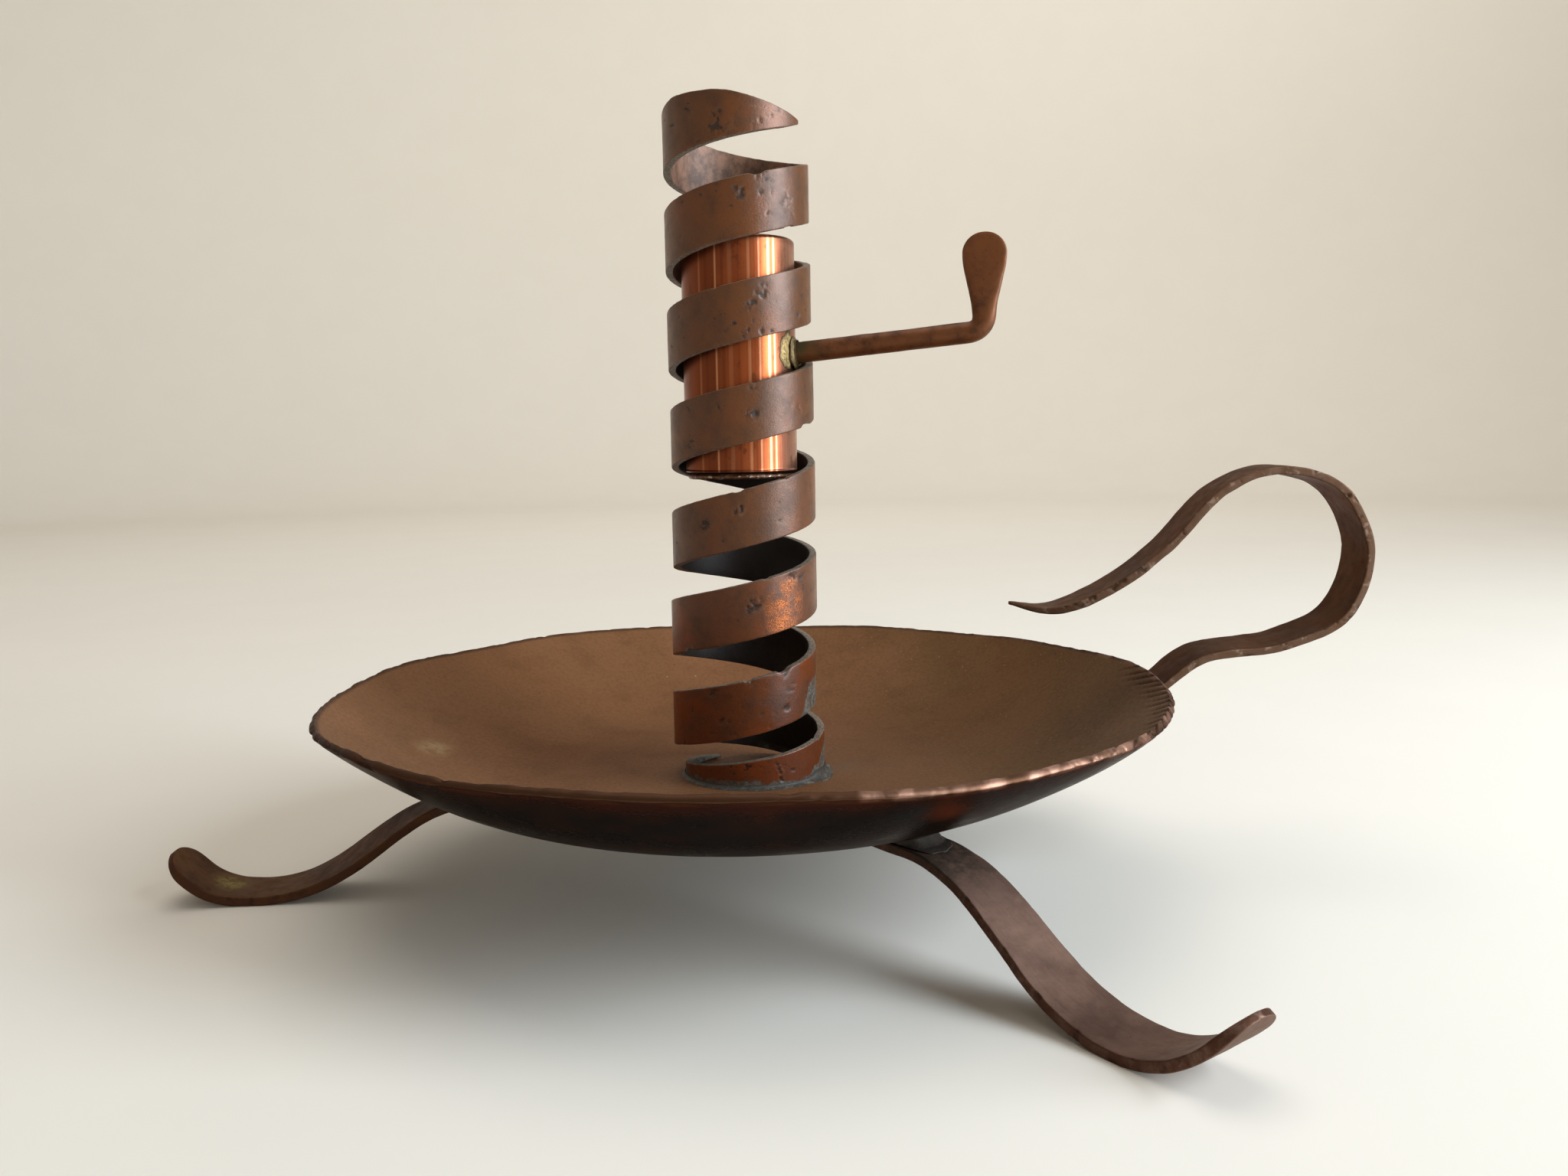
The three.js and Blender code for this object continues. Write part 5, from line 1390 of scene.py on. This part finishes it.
class CANDLESTICK_OT_dish(bpy.types.Operator):
    """Build the beaten drip dish"""
    bl_idname = "candlestick.dish"
    bl_label = "Drip dish"

    def execute(self, context):
        dish, = settings(context, "dish")
        stand_for("drip_dish", [beaten_dish(dish)], dish_finish(dish), "holder")
        return {"FINISHED"}


class CANDLESTICK_OT_spiral(bpy.types.Operator):
    """Build the helically slotted tube"""
    bl_idname = "candlestick.spiral"
    bl_label = "Spiral tube"

    def execute(self, context):
        spiral, = settings(context, "spiral")
        stand_for("spiral_tube", [helical_band(spiral)], spiral_finish(spiral), "holder")
        return {"FINISHED"}


class CANDLESTICK_OT_sleeve(bpy.types.Operator):
    """Build the lift sleeve and the seat disc that closes it"""
    bl_idname = "candlestick.sleeve"
    bl_label = "Lift sleeve and seat"

    def execute(self, context):
        spiral, lift = settings(context, "spiral", "lift")
        stand_for("lift_sleeve", [drawn_sleeve(spiral, lift)], sleeve_finish(lift),
                  "sleeve", ring=True)
        stand_for("seat_disc", [ragged_seat(spiral, lift)], seat_finish(), "candle_seat")
        return {"FINISHED"}


class CANDLESTICK_OT_lever(bpy.types.Operator):
    """Build the bent lever and its braze"""
    bl_idname = "candlestick.lever"
    bl_label = "Lever and braze"

    def execute(self, context):
        spiral, lift = settings(context, "spiral", "lift")
        stand_for("lever", [bent_lever(spiral, lift)], lever_finish(lift), "sleeve")
        stand_for("lever_braze", [braze_collar(spiral, lift), braze_smear(spiral, lift)], braze_finish(lift),
                  "sleeve", ring=[True, False])
        return {"FINISHED"}


class CANDLESTICK_OT_handle(bpy.types.Operator):
    """Build the looped strap handle"""
    bl_idname = "candlestick.handle"
    bl_label = "Handle"

    def execute(self, context):
        dish, strap = settings(context, "dish", "strap")
        copper = strap_finish("handle_copper", strap.handle_brown, strap.handle_dark, strap.handle_edge,
                              solder_end=0.06, glint=0.4)
        stand_for("handle", [looped_handle(dish, strap)], copper, "holder")
        return {"FINISHED"}


class CANDLESTICK_OT_legs(bpy.types.Operator):
    """Build the three strap legs"""
    bl_idname = "candlestick.legs"
    bl_label = "Legs"

    def execute(self, context):
        dish, strap = settings(context, "dish", "strap")
        front = strap_finish("front_leg_copper", strap.front_brown, strap.front_dark, strap.leg_edge,
                             solder_end=0.42)
        # The front leg takes the lit brown; the other legs take a darker copy as painted shade
        other = strap_finish("shaded_leg_copper", strap.shaded_leg_brown, strap.shaded_leg_dark, strap.leg_edge,
                             solder_end=0.4)
        for number, (node, bend) in enumerate(LEGS.items()):
            stand_for(node, [strap_leg(dish, strap, bend, seed=101 + number)],
                      front if node == "leg_front" else other, "holder")
        return {"FINISHED"}


class CANDLESTICK_OT_solder(bpy.types.Operator):
    """Build the solder at the tube's foot, the legs and the handle"""
    bl_idname = "candlestick.solder"
    bl_label = "Solder"

    def execute(self, context):
        dish, spiral, strap, solder = settings(context, "dish", "spiral", "strap", "solder")
        grey = solder_finish("grey_solder", solder.grey, solder.crust)
        dark = solder_finish("dark_solder", solder.leg_grey, "5f5248")
        stand_for("spiral_solder", [foot_solder(spiral, solder)], grey, "holder")
        for number, (node, bend) in enumerate(LEGS.items()):
            stand_for(f"{node}_solder", [leg_solder(dish, strap, solder, bend, seed=85 + number)], dark,
                      "holder")
        stand_for("handle_solder", [handle_solder(dish, strap, solder)], dark, "holder")
        return {"FINISHED"}


def sweep(stage):
    """Round floor that curves up into a wall: radius and height run level, round a quarter circle and up,
    turned round the middle of the object."""
    level, columns = 20, 96
    bend = np.linspace(0, math.pi / 2, 24)[1:]
    wall = stage.sweep_radius + stage.sweep_bend
    radius = np.r_[np.linspace(0.01, stage.sweep_radius, level),
                   stage.sweep_radius + stage.sweep_bend * np.sin(bend), wall]
    height = np.r_[np.zeros(level), stage.sweep_bend * (1 - np.cos(bend)), stage.sweep_height]
    turn = once_round(columns)
    rows = np.stack(np.broadcast_arrays(radius[:, None] * np.cos(turn), radius[:, None] * np.sin(turn),
                                        height[:, None]), -1)
    i, j = np.meshgrid(np.arange(len(rows) - 1), np.arange(columns), indexing="ij")
    i, j = i.ravel(), j.ravel()
    faces = np.stack([i * columns + j, (i + 1) * columns + j, (i + 1) * columns + (j + 1) % columns,
                      i * columns + (j + 1) % columns], -1).tolist()
    faces.append(list(range(columns)))
    mesh = bpy.data.meshes.new("studio_sweep")
    mesh.from_pydata(rows.reshape(-1, 3), [], faces)
    mesh.polygons.foreach_set("use_smooth", np.ones(len(faces), bool))
    return mesh


def lamp(name, watts, size, place, aim, tone):
    """Soft rectangular light at a place, facing a point."""
    data = bpy.data.lights.new(name, "AREA")
    data.shape, data.size, data.size_y = "RECTANGLE", *size
    data.energy, data.color = watts, tone
    light = bpy.data.objects.new(name, data)
    bpy.context.scene.collection.objects.link(light)
    light.matrix_world = (Matrix.Translation(place)
                          @ (Vector(aim) - Vector(place)).to_track_quat("-Z", "Y").to_matrix().to_4x4())
    light.visible_camera = False


class CANDLESTICK_OT_stage(bpy.types.Operator):
    """Set the floor, the soft lights and the camera"""
    bl_idname = "candlestick.stage"
    bl_label = "Stage"

    def execute(self, context):
        scene = context.scene
        stage, = settings(context, "stage")
        floor = bpy.data.objects.new("studio_sweep", sweep(stage))
        floor.data.materials.append(floor_finish(stage))
        scene.collection.objects.link(floor)
        aim = (float(AXIS[0]), float(AXIS[1]), 0.07)
        lamp("window_light", stage.key_power, size=(0.55, 0.8), place=(0.79, -0.34, 0.40), aim=aim,
             tone=(0.78, 0.89, 1.0))
        lamp("top_fill", stage.fill_power, size=(1.0, 1.0), place=(-0.1, 0.1, 1.2), aim=aim,
             tone=(1.0, 0.95, 0.88))
        lamp("wall_light", stage.wall_power, size=(1.2, 0.4), place=(0.3, 0.9, 1.2), aim=(0.0, 2.0, 0.4),
             tone=(1.0, 0.97, 0.93))
        world = bpy.data.worlds.new("soft_room")
        world.use_nodes = True
        backdrop = world.node_tree.nodes["Background"]
        backdrop.inputs["Color"].default_value = (1.0, 0.94, 0.87, 1)
        backdrop.inputs["Strength"].default_value = stage.sky
        scene.world = world
        scene.view_settings.view_transform = "Standard"
        data = bpy.data.cameras.new("camera")
        data.lens, data.sensor_width, data.clip_start = 14, 17.3, 0.01
        camera = bpy.data.objects.new("camera", data)
        scene.collection.objects.link(camera)
        camera.matrix_world = (Matrix.Translation((AXIS[0], AXIS[1] - stage.camera_back, stage.camera_height))
                               @ Matrix.Rotation(-stage.camera_yaw, 4, "Z")
                               @ Matrix.Rotation(math.pi / 2 - stage.camera_pitch, 4, "X")
                               @ Matrix.Rotation(-stage.camera_roll, 4, "Z"))
        scene.camera = camera
        return {"FINISHED"}


SETTINGS = {
    "candlestick_dish": CandlestickDishSettings,
    "candlestick_spiral": CandlestickSpiralSettings,
    "candlestick_lift": CandlestickLiftSettings,
    "candlestick_strap": CandlestickStrapSettings,
    "candlestick_solder": CandlestickSolderSettings,
    "candlestick_stage": CandlestickStageSettings,
}
OPERATORS = (CANDLESTICK_OT_stage, CANDLESTICK_OT_dish, CANDLESTICK_OT_spiral, CANDLESTICK_OT_sleeve,
             CANDLESTICK_OT_lever, CANDLESTICK_OT_handle, CANDLESTICK_OT_legs, CANDLESTICK_OT_solder)


class CANDLESTICK_PT_build(bpy.types.Panel):
    """Builds each part of the candlestick and shows its sizes and colours"""
    bl_idname = "CANDLESTICK_PT_build"
    bl_label = "Copper Candlestick"
    bl_space_type = "VIEW_3D"
    bl_region_type = "UI"
    bl_category = "Candlestick"

    def draw(self, context):
        for operator in OPERATORS:
            self.layout.operator(operator.bl_idname)
        for name, group in SETTINGS.items():
            box = self.layout.box()
            box.label(text=group.__doc__)
            for key in group.__annotations__:
                box.prop(getattr(context.scene, name), key)


def register():
    for group in (*SETTINGS.values(), *OPERATORS, CANDLESTICK_PT_build):
        bpy.utils.register_class(group)
    for name, group in SETTINGS.items():
        setattr(bpy.types.Scene, name, bpy.props.PointerProperty(type=group))


def unregister():
    for name in SETTINGS:
        delattr(bpy.types.Scene, name)
    for group in (CANDLESTICK_PT_build, *reversed(OPERATORS), *SETTINGS.values()):
        bpy.utils.unregister_class(group)


def main():
    """Builds the stage and the candlestick."""
    register()
    bpy.ops.candlestick.stage()
    bpy.ops.candlestick.dish()
    bpy.ops.candlestick.spiral()
    bpy.ops.candlestick.sleeve()
    bpy.ops.candlestick.lever()
    bpy.ops.candlestick.handle()
    bpy.ops.candlestick.legs()
    bpy.ops.candlestick.solder()


if __name__ == "__main__":
    main()
